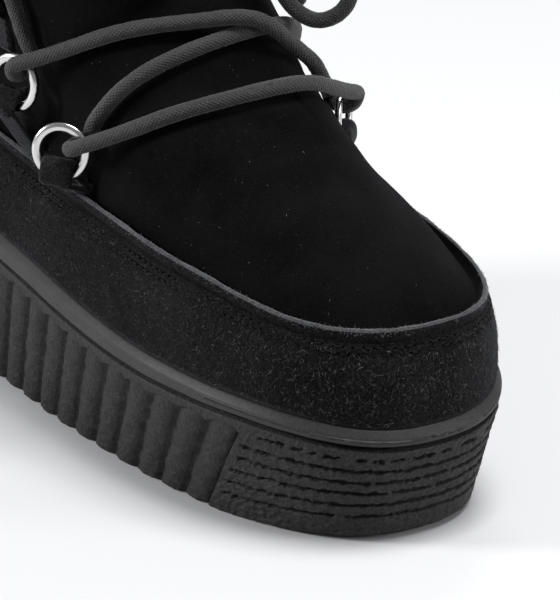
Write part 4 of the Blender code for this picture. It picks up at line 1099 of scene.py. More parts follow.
    faces = [list(map(int, f)) for f in quads]
    extra = []
    for t in range(across):
        for i in range(h - 1):
            f = [at(t, i), at(t, i + 1), at(t + 1, i + 1), at(t + 1, i)]
            f = [v for k, v in enumerate(f) if v not in f[:k]]
            if len(f) > 2:
                extra.append(f)
    top = (r - 1) * n
    lid = []
    for i in range(h - 1):
        f = [top + i, top + i + 1, top + (n - i - 1) % n, top + (n - i) % n]
        f = [v for k, v in enumerate(f) if v not in f[:k]]
        if len(f) > 2:
            lid.append(f)
    # all faces out: wall by its own test, floor down, lid up
    wall = facing_out_open(pts, quads)
    extra = [f if face_normal(pts, f)[2] < 0 else f[::-1] for f in extra]
    lid = [f if face_normal(pts, f)[2] > 0 else f[::-1] for f in lid]
    faces = wall.tolist() + extra + lid
    return piece("outsole_moulded", pts, faces, WALL_RUBBER, replaces=["outsole"], painted_light_at=painted_light)


def face_normal(pts, f):
    n = np.zeros(3)
    for k in range(1, len(f) - 1):
        n += np.cross(pts[f[k]] - pts[f[0]], pts[f[k + 1]] - pts[f[0]])
    return n


def facing_out_open(pts, quads):
    """Turns a wall's faces round when most of them look towards its own middle."""
    mid = pts[quads].mean(axis=1)
    n = np.cross(pts[quads[:, 1]] - pts[quads[:, 0]], pts[quads[:, 3]] - pts[quads[:, 0]])
    centre = mid.mean(axis=0)
    return quads if ((mid - centre) * n)[:, :2].sum() > 0 else quads[:, ::-1]


# ---------------------------------------------------------------- sole band
def fine_band():
    """Rounded rubber band with a bevelled upper edge, over a dark groove."""
    rows = []
    for inset, low, lift in (
        (3.4, True, 0.32), (BAND_NECK, True, 0.34), (BAND_NECK, True, 0.95), (1.7, True, 1.3), (0.5, True, 1.5), (0.0, True, 1.75),
        (-0.32, True, 2.2), (-0.48, True, 2.9), (-0.5, True, 3.8), (-0.5, False, -3.6), (-0.48, False, -2.9), (-0.38, False, -2.45),
        (-0.1, False, -2.0), (0.5, False, -1.2), (0.95, False, -0.62), (1.2, False, -0.36), (1.55, False, -0.14), (2.1, False, -0.03), (3.6, False, 0.0),
    ):
        rows.append(whole(lambda side, u: level_ring(side, u, inset, lip_z if low else band_top_z, lift), 210))
    g = np.array(rows)
    n = grid_normals(g)
    soft = 0.07 * noise(g, 9.0, 21) + 0.03 * noise(g, 2.2, 22)
    g = g + n * soft[:, :, None] * (np.arange(len(g)) > 3)[:, None, None]
    pts = g.reshape(-1, 3)
    quads = grid_faces(*g.shape[:2])
    wall = facing_out_open(pts, quads).tolist()
    caps = []
    m, h = g.shape[1], g.shape[1] // 2
    for base, up in ((0, -1), ((len(g) - 1) * m, 1)):
        for i in range(h):
            f = [base + i, base + i + 1, base + (m - i - 1) % m, base + (m - i) % m]
            f = [v for k, v in enumerate(f) if v not in f[:k]]
            if len(f) > 2:
                caps.append(f if face_normal(pts, f)[2] * up > 0 else f[::-1])
    return piece("welt_band", pts, wall + caps, BAND_RUBBER, replaces=["sole_band"])


# ---------------------------------------------------------------- upper
# creases and soft swells: a point on the surface's side (x sign, s, z), the way the crease runs,
# half length, width, depth (negative swells)
CREASE_COLUMNS = ("x", "s", "z", "dx", "ds", "dz", "long", "wide", "deep")
CREASES = (
    # flex lines across the instep, very soft
    (2.0, 77.0, 101.0, 1.0, 0.05, -0.1, 30.0, 4.5, 0.35),
    (-8.0, 90.0, 106.0, 1.0, 0.12, 0.1, 26.0, 5.5, 0.45),
    (6.0, 104.0, 115.0, 1.0, -0.1, -0.1, 26.0, 5.0, 0.5),
    # hollow between the strands, outer side
    (-30.0, 128.0, 108.0, 0.3, 0.8, -0.5, 24.0, 9.0, 0.8),
    (30.0, 126.0, 108.0, -0.3, 0.8, -0.5, 24.0, 9.0, 0.7),
    # swell of the vamp over the toes
    (-6.0, 46.0, 84.0, 1.0, 0.0, 0.0, 26.0, 22.0, -0.5),
    # folds at the front of the ankle
    (0.0, 128.0, 137.0, 1.0, 0.0, 0.05, 30.0, 4.0, 0.9),
    (4.0, 134.0, 148.0, 1.0, 0.0, -0.1, 24.0, 5.0, 0.6),
    # slanting folds on both sides of the ankle
    (-38.0, 178.0, 128.0, 0.0, 0.95, 0.3, 34.0, 5.0, 1.0),
    (-38.0, 196.0, 118.0, 0.0, 0.95, 0.32, 30.0, 6.0, 0.8),
    (-40.0, 214.0, 146.0, 0.0, 0.97, 0.2, 30.0, 6.0, 0.7),
    (38.0, 178.0, 127.0, 0.0, 0.95, 0.28, 32.0, 5.5, 0.9),
    (38.0, 200.0, 117.0, 0.0, 0.95, 0.34, 28.0, 6.0, 0.8),
    (40.0, 212.0, 150.0, 0.0, 0.97, 0.18, 28.0, 6.0, 0.7),
    # folds behind the ankle
    (0.0, 258.0, 128.0, 1.0, 0.0, 0.06, 26.0, 4.5, 0.8),
    (-4.0, 258.0, 142.0, 1.0, 0.0, -0.08, 24.0, 5.0, 0.7),
)


def creased(g, n):
    """Moves a grid in along its normals by the crease table: a soft trough with low shoulders."""
    move = np.zeros(g.shape[:2])
    for row in CREASES:
        k = dict(zip(CREASE_COLUMNS, row))
        c = np.array([k["x"], k["s"], k["z"]])
        d = unit((k["dx"], k["ds"], k["dz"]))
        near = np.linalg.norm(g - c, axis=2)
        i = np.unravel_index(np.argmin(near), near.shape)
        c, m = g[i], n[i]
        across = unit(np.cross(m, d))
        v = g - c
        along = v @ d
        off = v @ across + 0.12 * k["wide"] * np.sin(along / 7.0)
        depth = v @ m
        q = off / k["wide"]
        shape = np.exp(-(q**2)) - 0.35 * np.exp(-((np.abs(q) - 1.9) ** 2)) if k["deep"] > 0 else np.exp(-(q**2))
        move += k["deep"] * shape * np.exp(-((along / k["long"]) ** 4)) * (depth > -34.0) * ((n @ m) > 0.1)
    return move


N_SIDE = 176


def fine_upper(strands):
    """Foot band of rough suede, folded seam, vamp and shaft in one closed form with its lining."""
    ring = lambda f: whole(f, N_SIDE)
    band = [ring(lambda side, u: rand_loop(side, q, u)) for q in np.concatenate([np.linspace(0.0, 0.7, 13), np.linspace(0.74, 0.88, 7)])]
    ridge_rows = ((0.12, 3.1), (-0.1, 2.2), (-0.3, 1.3), (-0.38, 0.45), (-0.32, -0.15), (-0.1, -0.62), (0.28, -0.9), (0.75, -0.92), (1.12, -0.66), (1.36, -0.15), (1.5, 0.6), (1.8, 1.5), (2.4, 2.2), (3.0, 2.6))
    ridge = [ring(lambda side, u: seam_loop(side, u, i, d)) for i, d in ridge_rows]
    shares = np.concatenate([[0.004, 0.01], np.linspace(0.02, 1.0, 100)])
    vamp = [ring(lambda side, u: vamp_loop(side, w, u)) for w in shares]
    g = np.array(band + ridge + vamp)
    n = grid_normals(g)
    kind = np.array([0] * len(band) + [1] * len(ridge) + [2] * len(vamp))
    # rough foot band, with a shallow furrow along the stitch rows
    rows0 = kind == 0
    move = np.zeros(g.shape[:2])
    move[rows0] = 0.16 * noise(g[rows0], 2.4, 31) + 0.28 * noise(g[rows0], 13.0, 32)
    for q, row in zip(np.concatenate([np.linspace(0.0, 0.7, 13), np.linspace(0.74, 0.88, 7)]), range(len(band))):
        move[row] -= 0.45 * math.exp(-(((q - STITCH_AT[0]) / 0.022) ** 2)) + 0.45 * math.exp(-(((q - STITCH_AT[1]) / 0.022) ** 2))
        move[row] += 0.35 * math.exp(-(((q - 0.5 * (STITCH_AT[0] + STITCH_AT[1])) / 0.025) ** 2))
        move[row] *= ease(q / 0.06)
    rows1 = kind == 1
    move[rows1] = 0.2 * noise(g[rows1], 5.0, 33) + 0.10 * noise(g[rows1], 1.9, 34)
    rows2 = kind == 2
    v, m = g[rows2], n[rows2]
    soft = ease((shares - 0.01) / 0.05)[:, None]
    move[rows2] = soft * (0.22 * noise(v, 24.0, 35) + 0.06 * noise(v, 6.0, 36) - creased(v, m))
    # the tight lace presses a little into the suede
    tree = strands
    press = np.zeros(v.shape[:2])
    for i in range(v.shape[0]):
        for j in range(v.shape[1]):
            if 84 < v[i, j, 2] < 136 and v[i, j, 1] < 175:
                hit = tree.find(Vector(v[i, j]))
                if hit[2] < 7.0:
                    press[i, j] = 0.55 * math.exp(-(((hit[2] - 3.0) / 2.2) ** 2)) - 0.25 * math.exp(-(((hit[2] - 6.2) / 1.4) ** 2))
    move[rows2] -= soft * press
    outer = g + n * move[:, :, None]
    # rolled collar and lining
    top = outer[-1]
    out_n = n[-1] * (1, 1, 0)
    out_n /= np.linalg.norm(out_n, axis=1, keepdims=True)
    roll = [top + out_n * (-WALL * a) + (0, 0, b) for a, b in ((0.06, 0.5), (0.2, 0.95), (0.42, 1.2), (0.65, 1.15), (0.85, 0.75), (0.97, 0.2))]
    lining = []
    base = len(band) + len(ridge)
    for i in list(range(len(g) - 3, base + 6, -3)):
        row = g[i] - n[i] * WALL
        lining.append(row)
    lining += [ring(lambda side, u: rand_loop(side, q, u, shift=WALL)) for q in (0.62, 0.3, 0.12, 0.0)]
    whole_grid = np.array(list(outer) + roll + lining)
    pts = whole_grid.reshape(-1, 3)
    rows, cols = whole_grid.shape[:2]
    faces = facing_out(pts, grid_faces(rows, cols, True))
    row_kind = np.concatenate([kind, np.full(len(roll), 2), np.full(len(lining), 3)])
    face_row = np.repeat(np.arange(rows), cols)
    which = row_kind[face_row]
    # the lighter ridge suede, a painted highlight, stays only on the top rows of the fold; the rows under it take the
    # band's suede and those above it the vamp's
    which[(face_row >= len(band) - 1) & (face_row < len(band) + 4)] = 0
    which[(face_row >= len(band) + 8) & (face_row < len(band) + 14)] = 2
    which[face_row == rows - 1] = 3
    return (
        piece("upper_suede", pts, faces, [RAND_SUEDE, RIDGE_HIGHLIGHT_SUEDE, VAMP_SUEDE, LINING], which=which, replaces=["upper"]),
        outer, n, kind,
    )


# ---------------------------------------------------------------- stitches
STITCH_AT = (0.775, 0.845)  # the two rows, as shares of the foot band's height


def stitch_row(path, normal, length, pitch, radius, name, first=0.0, sides=6):
    """Short sunk threads and, between them, near-black discs of painted shade for the needle holes, along a path with
    its surface normals.
    """
    run = np.concatenate([[0.0], np.cumsum(np.linalg.norm(np.diff(path, axis=0), axis=1))])
    at = lambda d: np.array([np.interp(d, run, path[:, k]) for k in range(3)]).T
    nat = lambda d: np.array([np.interp(d, run, normal[:, k]) for k in range(3)]).T
    threads, tf, holes, hf = [], [], [], []
    d = first
    k = 0
    while d + length < run[-1]:
        jig = 0.12 * math.sin(k * 12.9898)
        t = np.linspace(0, 1, 7)
        q = at(d + jig + length * t)
        m = nat(d + length * t)
        lift = radius * (1.15 * (1 - (2 * t - 1) ** 4) - 0.85)
        fall = np.cross(m, np.gradient(q, axis=0))
        fall /= np.linalg.norm(fall, axis=1, keepdims=True)
        q = q + m * lift[:, None] + fall * (0.16 * math.sin(k * 7.7)) * (2 * t - 1)[:, None]
        p, f, _ = round_tube(q, radius * (0.55 + 0.45 * np.sin(math.pi * np.clip(t, 0.12, 0.88))), sides)
        base = sum(len(x) for x in threads)
        threads.append(p)
        tf += [[v + base for v in g] for g in f]
        # needle hole: a small near-black disc of painted shade on the surface
        c, m0 = at(d - 0.5 * (pitch - length) + jig), nat(d)
        along = unit(at(d + 0.2) - at(d - 0.2)) if d > 0.3 else unit(at(0.5) - at(0.0))
        w = np.cross(m0, along)
        a = np.linspace(0, 2 * math.pi, 8, endpoint=False)
        r = 0.36
        rim = c + m0 * 0.03 + r * (np.cos(a)[:, None] * along + 0.85 * np.sin(a)[:, None] * w)
        b = sum(len(x) for x in holes)
        holes.append(np.concatenate([rim, [c + m0 * 0.09, c - m0 * 0.4]]))
        hf += [[b + i, b + (i + 1) % 8, b + 8] for i in range(8)] + [[b + (i + 1) % 8, b + i, b + 9] for i in range(8)]
        d += pitch
        k += 1
    return np.concatenate(threads), tf, np.concatenate(holes), hf


def surface_at(f, share, n=700):
    """A closed path on a surface f(side, share, u) with its outward normals."""
    ring = lambda q: whole(lambda side, u: f(side, q, u), n)
    p, up = ring(share), ring(share + 0.01) - ring(share - 0.01)
    along = np.roll(p, -1, axis=0) - np.roll(p, 1, axis=0)
    m = np.cross(up, along)
    m /= np.linalg.norm(m, axis=1, keepdims=True)
    if ((p - p.mean(0)) * m)[:, :2].sum() < 0:
        m = -m
    return np.concatenate([p, p[:1]]), np.concatenate([m, m[:1]])


def seam_stitches():
    threads, tf, holes, hf = [], [], [], []
    for k, q in enumerate(STITCH_AT):
        path, normal = surface_at(rand_loop, q)
        p, f, h, g = stitch_row(path - normal * 0.28, normal, 2.15, 3.05, 0.36, "seam", first=1.0 + 1.5 * k)
        tf += [[v + sum(len(x) for x in threads) for v in face] for face in f]
        hf += [[v + sum(len(x) for x in holes) for v in face] for face in g]
        threads.append(p)
        holes.append(h)
    piece("seam_stitches", np.concatenate(threads), tf, THREAD)
    piece("seam_needle_holes", np.concatenate(holes), hf, HOLE_SHADE, smooth=False)


def collar_stitches():
    path, normal = surface_at(vamp_loop, 0.955)
    p, f, h, g = stitch_row(path - normal * 0.1, normal, 2.15, 3.05, 0.34, "collar", first=1.0)
    piece("collar_stitches", p, f, THREAD)
    piece("collar_needle_holes", h, g, HOLE_SHADE, smooth=False)


def back_strip(hull):
    """Narrow strip of the same suede over the seam at the back of the heel, with a stitch row on each side."""
    heights = np.linspace(86.0, 194.5, 90)
    rows, mids = [], []
    for z in heights:
        back = np.array([0.0, 400.0, z])
        hit = hull.ray_cast(Vector(back), Vector((0, -1, 0)))
        m = np.array(hit[1])
        m = m if np.dot(m, (0, 1, 0)) > 0 else -m
        mids.append((np.array(hit[0]), m))
    half = 6.2
    for (c, m), z in zip(mids, heights):
        row = []
        for u in np.linspace(-1, 1, 19):
            q, k = on_skin(hull, c + np.array([u * half, 0.0, 0.0]), 0.0)
            q = np.array([q[0], q[1], q[2]])
            row.append(q + k * (-0.3 + 1.15 * math.sqrt(max(1 - abs(u) ** 14, 0)) * float(ease(np.array((195.6 - z) / 1.0)))))
        rows.append(row)
    g = np.array(rows)
    r, c = g.shape[:2]
    low = np.array([[on_skin(hull, g[i, j], -0.6)[0] for j in range(c)] for i in range(r)])
    pts = np.concatenate([g.reshape(-1, 3), low.reshape(-1, 3)])
    n = r * c
    faces = []
    for i in range(r - 1):
        for j in range(c - 1):
            f = [i * c + j, i * c + j + 1, (i + 1) * c + j + 1, (i + 1) * c + j]
            faces += [f, [n + v for v in f[::-1]]]
    rim = [(0, j) for j in range(c)] + [(i, c - 1) for i in range(1, r)] + [(r - 1, j) for j in range(c - 2, -1, -1)] + [(i, 0) for i in range(r - 2, 0, -1)]
    rim = [i * c + j for i, j in rim]
    for k in range(len(rim)):
        x, y = rim[k], rim[(k + 1) % len(rim)]
        faces.append([y, x, n + x, n + y])
    faces = facing_out(pts - pts.mean(0), np.array(faces))
    piece("back_seam_strip", pts, faces, VAMP_SUEDE)
    threads, tf, holes, hf = [], [], [], []
    for u in (-4.6, 4.6):
        both = [on_skin(hull, cm + np.array([u, 0.0, 0.0]), 0.72) for cm, _ in mids[2:-5]]
        p, f, h, hh = stitch_row(np.array([b[0] for b in both]), np.array([b[1] for b in both]), 2.15, 3.05, 0.34, "back", first=0.5)
        tf += [[v + sum(len(x) for x in threads) for v in face] for face in f]
        hf += [[v + sum(len(x) for x in holes) for v in face] for face in hh]
        threads.append(p)
        holes.append(h)
    piece("back_seam_stitches", np.concatenate(threads), tf, THREAD)
    piece("back_seam_needle_holes", np.concatenate(holes), hf, HOLE_SHADE, smooth=False)


# ---------------------------------------------------------------- nap: short loose fibres
def fibres(name, points, normal, down, count, length, thick, lift, mat, seed):
    """Short tapered fibres on a surface given by scattered points; each is a closed thin spike."""
    rng = np.random.RandomState(seed)
    pick = rng.randint(0, len(points), count)
    p, n, d = points[pick], normal[pick], down[pick]
    side = np.cross(n, d)
    turn = rng.normal(0.0, 1.1, count)
    way = np.cos(turn)[:, None] * d + np.sin(turn)[:, None] * side
    tilt = np.clip(rng.normal(lift, lift * 0.5, count), 0.03, 1.2)
    way = np.cos(tilt)[:, None] * way + np.sin(tilt)[:, None] * n
    size = length * np.exp(rng.normal(0.0, 0.35, count))
    w = np.cross(way, n)
    w /= np.linalg.norm(w, axis=1, keepdims=True)
    u = np.cross(w, way)
    r = thick * np.exp(rng.normal(0.0, 0.25, count))[:, None]
    p = p + (rng.rand(count, 1) - 0.5) * 1.4 * d + (rng.rand(count, 1) - 0.5) * 1.4 * side - n * 0.05
    a, b, c = p + w * r, p - w * r * 0.5 + u * r * 0.86, p - w * r * 0.5 - u * r * 0.86
    tip = p + way * size[:, None]
    pts = np.stack([a, b, c, tip], axis=1).reshape(-1, 3)
    k = np.arange(count)[:, None] * 4
    faces = np.concatenate([k + (0, 1, 2), k + (0, 3, 1), k + (1, 3, 2), k + (2, 3, 0)], axis=1).reshape(-1, 3)
    q = pts.reshape(-1, 4, 3)
    out = np.einsum("ij,ij->i", np.cross(q[:, 1] - q[:, 0], q[:, 2] - q[:, 0]), q[:, 3] - q[:, 0]) > 0
    f = faces.reshape(-1, 4, 3)
    f[out] = f[out][:, :, ::-1]
    return piece(name, pts, f.reshape(-1, 3), mat, smooth=False)


# ---------------------------------------------------------------- rings, straps, lace
def fine_ring(which, frame_of):
    """Round ring of slightly flattened wire with a fine line round its outer edge."""
    c, f, u, o = frame_of
    rows = []
    for a in np.linspace(0, 360, 120, endpoint=False):
        r = on_ring(frame_of, a)
        b = np.linspace(0, 2 * math.pi, 24, endpoint=False)
        cb, sb = np.cos(b), np.sin(b)
        x = 1.42 * np.sign(cb) * np.abs(cb) ** 0.8
        y = 1.12 * np.sign(sb) * np.abs(sb) ** 0.8
        dent = 1 - 0.07 * np.exp(-(((b - 0.9) / 0.16) ** 2))
        rows.append(c + r * (RING_R + (x * dent)[:, None]) + o * (y * dent)[:, None])
    g = np.array(rows)
    pts = g.reshape(-1, 3)
    return piece(f"{which}_polished", pts, facing_out(pts, grid_faces(120, 24, True)), METAL, replaces=[which])


def fine_strap(which, pair, side, tree, hull, frame_of):
    """Suede strap sewn down at its foot and folded round the ring."""
    c, f, u, o = frame_of
    k = RINGS[pair, side]
    d = on_ring(frame_of, k["tab_at"])
    wire = c + d * RING_R
    w_top = unit(np.cross(o, d))
    z = k["foot"] or float(seam_z(side, wire[1])) + 2.4
    at = wire[1]
    for _ in range(5):
        skin, n = skin_at(tree, side, at, z)
        level = unit(np.cross(n, (0.0, 0.0, 1.0)))
        level = level if np.dot(level, w_top) > 0 else -level
        at += np.dot(wire - skin, level) * level[1]
    mean = RING_WIRE + GAP + 0.5 + 0.5 * TAB_T
    sag = 0.4 + RING_R - math.sqrt(RING_R**2 - (0.86 * k["tab_half"]) ** 2)
    flat = lambda v: np.array([np.dot(v, o), -np.dot(v, d)])
    foot = skin + n * 1.4
    across = flat(wire - foot)
    across = np.array([across[1], -across[0]]) / np.linalg.norm(across)
    path = taut_band(np.array([flat(foot - wire) - 0.8 * across, flat(foot - wire) + 0.8 * across]), mean, sag)
    down = unit(np.cross(n, level))
    down = down if down[2] < 0 else -down
    legs = []
    path = np.array(path)
    gone = np.concatenate([[0.0], np.cumsum(np.linalg.norm(np.diff(path, axis=0), axis=1))])
    for i, (a, b) in enumerate(path):
        share = float(1 - ease(np.array(min(gone[i], gone[-1] - gone[i]) / 6.5)))
        legs.append((wire + a * o - b * d + share * w_top * np.dot(foot - wire, w_top), share))
    centre = [legs[0][0] - n * 0.9] + [q for q, _ in legs] + [legs[-1][0] - n * 0.9]
    share = [1.0] + [w for _, w in legs] + [1.0]
    line = curve_through(centre, 0.55)
    run = np.concatenate([[0.0], np.cumsum(np.linalg.norm(np.diff(np.array(centre), axis=0), axis=1))])
    run /= run[-1]
    total = float(np.linalg.norm(np.diff(line, axis=0), axis=1).sum())
    from_end = np.minimum(np.linspace(0, total, len(line)), np.linspace(total, 0, len(line)))
    s_at = 1 - ease(from_end / 6.5)
    t = np.gradient(line, axis=0)
    t /= np.linalg.norm(t, axis=1, keepdims=True)
    cols = 15
    v = np.linspace(-1, 1, cols)
    top, low = [], []
    for i in range(len(line)):
        w = w_top + (level - w_top) * s_at[i]
        w = unit(w - np.dot(w, t[i]) * t[i])
        m = np.cross(w, t[i])
        half = k["tab_half"] * (0.86 + 0.14 * s_at[i])
        edge_round = 0.5 * 1.25 * np.sqrt(np.clip(1 - np.abs(v) ** 8, 0.02, 1))
        rag = 0.14 * noise(np.stack([line[i] + w * half * q for q in v]), 1.6, 41)
        row = line[i] + (v * half * (1 + 0.02 * rag))[:, None] * w
        top.append(row + m * (edge_round + rag * 0.5)[:, None])
        low.append(row - m * edge_round[:, None])
    g = np.concatenate([np.array(top), np.array(low)[:, ::-1]], axis=1)
    pts = g.reshape(-1, 3)
    r, cc = g.shape[:2]
    faces = grid_faces(r, cc).tolist()
    n0 = len(faces)
    for base, turned in ((0, True), ((r - 1) * cc, False)):
        for i in range(cols - 1):
            q = [base + i, base + i + 1, base + cc - 2 - i, base + cc - 1 - i]
            faces.append(q[::-1] if turned else q)
    q = np.array(faces)
    q = facing_out(pts, q)
    made = piece(f"{which}_suede", pts, q, STRAP_SUEDE, replaces=[which])
    strap_patch(which, pair, skin, level, down, k["tab_half"], hull)
    return made


def on_skin(hull, p, height):
    s, n, _, _ = hull.find_nearest(Vector(p))
    return np.array(s) + np.array(n) * height, np.array(n)


def strap_patch(which, pair, skin, level, down, half, hull):
    """The strap's sewn-down end: a low pad that hugs the upper, and on the ankle straps its stitches."""
    top, low = (1.6, 13.5) if pair == "ankle" else (1.4, 1.9)
    us, vs = np.linspace(-1, 1, 21), np.linspace(-1, 1, 21)
    rows = []
    for v in vs:
        row = []
        for u in us:
            corner = 1 - 0.06 * max(abs(u), 0) ** 6 * max(v, 0) ** 6
            q = skin + level * u * half * 1.02 * corner + down * ((top + low) * 0.5 * v + (low - top) * 0.5) * corner
            edge = (1 - abs(u) ** 10) * (1 - abs(v) ** 12)
            spot, m = on_skin(hull, q, 0.0)
            row.append(spot + m * (-0.35 + 1.35 * math.sqrt(max(edge, 0.0)) + 0.10 * float(noise(q[None], 1.7, 43)[0])))
        rows.append(row)
    g = np.array(rows)
    under = np.array([[on_skin(hull, g[i, j], -0.5)[0] for j in range(21)] for i in range(21)])
    pts = np.concatenate([g.reshape(-1, 3), under.reshape(-1, 3)])
    faces = []
    for i in range(20):
        for j in range(20):
            f = [i * 21 + j, i * 21 + j + 1, (i + 1) * 21 + j + 1, (i + 1) * 21 + j]
            faces += [f, [441 + v for v in f[::-1]]]
    rim = [(0, j) for j in range(21)] + [(i, 20) for i in range(1, 21)] + [(20, j) for j in range(19, -1, -1)] + [(i, 0) for i in range(19, 0, -1)]
    rim = [i * 21 + j for i, j in rim]
    for k in range(len(rim)):
        x, y = rim[k], rim[(k + 1) % len(rim)]
        faces.append([y, x, 441 + x, 441 + y])
    faces = facing_out(pts - pts.mean(0), np.array(faces))
    piece(f"{which}_sewn_end", pts, faces, STRAP_SUEDE)
    if pair != "ankle":
        return  # its stitches are hidden behind the folded seam
    near, far = 3.2, 11.5
    corners = [(-0.78, near), (0.78, near), (0.78, far), (-0.78, far), (-0.78, near)]
    path = []
    for (u0, d0), (u1, d1) in zip(corners[:-1], corners[1:]):
        for t in np.linspace(0, 1, 16, endpoint=False):
            path.append(skin + level * half * (u0 + (u1 - u0) * t) + down * (d0 + (d1 - d0) * t))
    path.append(skin + level * half * corners[-1][0] + down * corners[-1][1])
    both = [on_skin(hull, q, 0.86) for q in path]
    p, f, h, hh = stitch_row(np.array([b[0] for b in both]), np.array([b[1] for b in both]), 1.9, 2.7, 0.34, which, first=0.4)
    piece(f"{which}_stitches", p, f, THREAD)
    piece(f"{which}_needle_holes", h, hh, HOLE_SHADE, smooth=False)


def braid(share, run):
    a = np.cos(2 * math.pi * (6 * share + run / 5.4))
    b = np.cos(2 * math.pi * (6 * share - run / 5.4))
    return 0.085 * np.maximum(a, b) - 0.05


def woven(way, name, replaces, tips=(False, False)):
    run = np.concatenate([[0.0], np.cumsum(np.linalg.norm(np.diff(way, axis=0), axis=1))])
    radius = np.full(len(way), 2.42)
    # gentle unevenness, and a sealed tip where the lace ends
    radius = radius * (1 + 0.02 * np.sin(run / 6.3) + 0.012 * np.sin(run / 2.1))
    if tips[0]:
        radius *= np.clip(np.sqrt(np.clip(run / 1.6, 0.02, 1)), 0, 1)
    if tips[1]:
        radius *= np.clip(np.sqrt(np.clip((run[-1] - run) / 1.6, 0.02, 1)), 0, 1)
    pts, faces, uv = round_tube(way, radius, 24, relief=braid)
    return piece(name, pts, faces, LACE, uv=uv, replaces=replaces)


class Near:
    """Nearest distance to a way, for pressing the suede under the lace."""

    def __init__(self, way):
        from mathutils.kdtree import KDTree

        self.tree = KDTree(len(way))
        for i, p in enumerate(way):
            self.tree.insert(p, i)
        self.tree.balance()

    def find(self, p):
        return self.tree.find(p)


# ---------------------------------------------------------------- build
outer_rings = upper_outer()
tree = skin_of(outer_rings)
hull = BVHTree.FromPolygons([tuple(p) for p in np.concatenate(outer_rings)], [tuple(f) for f in outward(*skinned(outer_rings))])
frames = {key: ring_frame(tree, *key) for key in RINGS}
way, knot = lace_ways(hull, frames)

# cords first: the bow's loops and ends
def bow():
    for name in BOW:
        line = curve_through(knot + np.array(BOW[name]), 0.55)
        obj = woven(line, f"{name}_woven", [name], tips=(False, name.startswith("lace_end")))
        path = place(line)


bow()

fine_way = curve_through(way, 0.55)
woven(fine_way, "lace_crossings_woven", ["lace_crossings"])


def fine_knot():
    """A tied knot: the lace wrapped once round the crossing strands."""
    parts, faces, uvs = [], [], []

    def add(line, radius, closed=False, cap=True):
        p, f, uv = round_tube(line, radius, 20, cap=cap, closed=closed, relief=braid)
        b = sum(len(x) for x in parts)
        parts.append(p)
        uvs.append(uv)
        faces.extend([[v + b for v in g] for g in f])

    a = np.linspace(0, 2 * math.pi, 64, endpoint=False)
    add(knot + np.stack([0.5 * np.sin(2 * a) - 0.3, 2.5 * np.cos(a), 3.3 * np.sin(a)], axis=1), 2.2, closed=True)
    for k, (y, z, tilt) in enumerate(((-0.6, 1.6, 0.5), (0.4, -1.6, -0.4))):
        x = np.linspace(-6.0, 6.0, 26)
        add(knot + np.stack([x, y - 1.2 * np.cos(x / 4.2), z + tilt * x / 3.0], axis=1), 1.9)
    piece("bow_knot_tied", np.concatenate(parts), faces, LACE, uv=np.concatenate(uvs), replaces=["bow_knot"])


fine_knot()
fine_outsole()
fine_band()
upper_piece, skin, skin_n, kind = fine_upper(Near(fine_way))
seam_stitches()
collar_stitches()
back_strip(hull)

for (pair, side), frame_of in frames.items():
    which = "outer" if side < 0 else "inner"
    fine_ring(f"ring_{pair}_{which}", frame_of)
    fine_strap(f"tab_{pair}_{which}", pair, side, tree, hull, frame_of)


def fine_insole():
    rows = []
    inset = RAND_FOOT + WALL + 1.6
    for i, height in ((inset, GAP), (inset, 2.6), (inset + 0.3, 3.8), (inset + 1.0, 4.5), (inset + 2.2, 4.6)):
        rows.append(whole(lambda side, u: level_ring(side, u, i, band_top_z, height), 90))
    last = rows[-1]
    middle = np.stack([np.zeros(len(last)), last[:, 1], last[:, 2]], axis=1)
    g = np.array(rows)
    pts = g.reshape(-1, 3)
    quads = grid_faces(*g.shape[:2])
    wall = facing_out_open(pts, quads).tolist()
    caps, m, h = [], g.shape[1], g.shape[1] // 2
    for base, up in ((0, -1), ((len(g) - 1) * m, 1)):
        for i in range(h):
            f = [base + i, base + i + 1, base + (m - i - 1) % m, base + (m - i) % m]
            f = [v for k, v in enumerate(f) if v not in f[:k]]
            if len(f) > 2:
                caps.append(f if face_normal(pts, f)[2] * up > 0 else f[::-1])
    piece("insole_felt", pts, wall + caps, FELT_TOP, replaces=["insole"])


fine_insole()


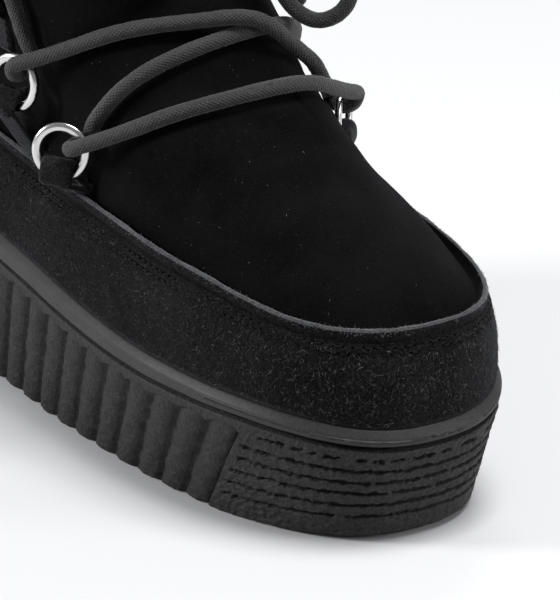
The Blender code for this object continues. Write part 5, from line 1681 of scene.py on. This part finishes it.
def nap():
    """Loose fibres of the rough foot band, sparser on ridge and vamp."""
    rows = kind == 0
    p, n = skin[rows], skin_n[rows]
    up = np.gradient(p, axis=0)
    up /= np.linalg.norm(up, axis=2, keepdims=True)
    # scatter evenly over the band's cells
    rng = np.random.RandomState(5)
    r, c = p.shape[:2]
    step = np.linalg.norm(np.roll(p, -1, axis=1) - p, axis=2)
    area = step[:-1] * np.linalg.norm(p[1:] - p[:-1], axis=2)
    chance = np.cumsum(area.ravel())
    cell = np.searchsorted(chance, rng.rand(30000) * chance[-1])
    i, j = cell // c, cell % c
    a, b = rng.rand(30000, 1), rng.rand(30000, 1)
    k = (j + 1) % c
    q = (p[i, j] * (1 - a) + p[i + 1, j] * a) * (1 - b) + (p[i, k] * (1 - a) + p[i + 1, k] * a) * b
    m = n[i, j]
    d = -up[i, j]
    keep = q[:, 2] > band_top_z(q[:, 1]) + 0.9
    q, m, d = q[keep], m[keep], d[keep]
    fibres("foot_band_nap", q, m, d, 26000, 1.0, 0.06, 0.28, fibre_material("nap_fibre", 0.014), 8)
    fibres("foot_band_loose_fibres", q, m, d, 9000, 1.15, 0.085, 0.25, fibre_material("loose_fibre", 0.062), 9)
    fibres("foot_band_bright_fibres", q, m, d, 900, 0.9, 0.09, 0.25, fibre_material("bright_fibre", 0.16), 10)
    # folded edge: short lighter hairs along its top, part of its painted highlight
    edge = np.nonzero(kind == 1)[0][3:8]
    e, em = skin[edge].reshape(-1, 3), skin_n[edge].reshape(-1, 3)
    side = np.tile(np.roll(skin[edge[0]], -1, axis=0) - skin[edge[0]], (len(edge), 1))
    side /= np.linalg.norm(side, axis=1, keepdims=True)
    fibres("folded_edge_fibres", e, em, side, 2600, 0.7, 0.06, 0.45, fibre_material("edge_fibre", 0.13), 11)
    # a little lint on the smooth suede
    rows = np.nonzero(kind == 2)[0][2:84]
    v, vn = skin[rows].reshape(-1, 3), skin_n[rows].reshape(-1, 3)
    clear = v[:, 2] < 190
    v, vn = v[clear], vn[clear]
    side = np.cross(vn, (0.3, 0.2, 1.0))
    side /= np.linalg.norm(side, axis=1, keepdims=True)
    fibres("vamp_lint", v, vn, side, 620, 0.6, 0.075, 0.15, fibre_material("lint", 0.15), 12)
    fibres("vamp_nap", v, vn, side, 9000, 0.6, 0.05, 0.15, fibre_material("vamp_fibre", 0.007), 13)


nap()

# ---------------------------------------------------------------- stage and light
def stage():
    mesh = bpy.data.meshes.new("floor")
    mesh.from_pydata([(-6, -6, 0), (6, -6, 0), (6, 6, 0), (-6, 6, 0)], [], [(0, 1, 2, 3)])
    floor = bpy.data.objects.new("floor", mesh)
    m = shader("pale_floor", (0.66, 0.66, 0.665), 0.75, specular=0.15)
    mesh.materials.append(m)
    scene.collection.objects.link(floor)
    floor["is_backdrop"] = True
    world = bpy.data.worlds.new("studio")
    world.use_nodes = True
    world.node_tree.nodes["Background"].inputs["Color"].default_value = (0.62, 0.64, 0.68, 1.0)
    world.node_tree.nodes["Background"].inputs["Strength"].default_value = 0.36
    scene.world = world
    for name, at, aim, size, power in (
        ("key", (0.15, -0.35, 1.3), (0.0, -0.05, 0.06), 0.6, 17.0),
        ("side", (-1.2, 0.65, 0.6), (-0.02, -0.02, 0.04), 0.35, 17.0),
        ("front", (0.95, -1.15, 0.45), (0.0, -0.08, 0.04), 0.45, 7.5),
        ("back", (0.7, 0.9, 0.9), (0.0, 0.0, 0.1), 0.6, 6.0),
    ):
        light = bpy.data.lights.new(name, "AREA")
        light.shape, light.size, light.energy = "SQUARE", size, power
        obj = bpy.data.objects.new(name, light)
        obj.location = at
        obj.rotation_euler = (Vector(aim) - Vector(at)).to_track_quat("-Z", "Y").to_euler()
        scene.collection.objects.link(obj)
    scene.view_settings.view_transform = "Standard"
    scene.view_settings.look = "None"


stage()

# ---------------------------------------------------------------- sizes and finish
plain = lambda box: [[float(v) for v in corner] for corner in box]
{"cad": plain(cad_box), "visual": plain(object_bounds())}
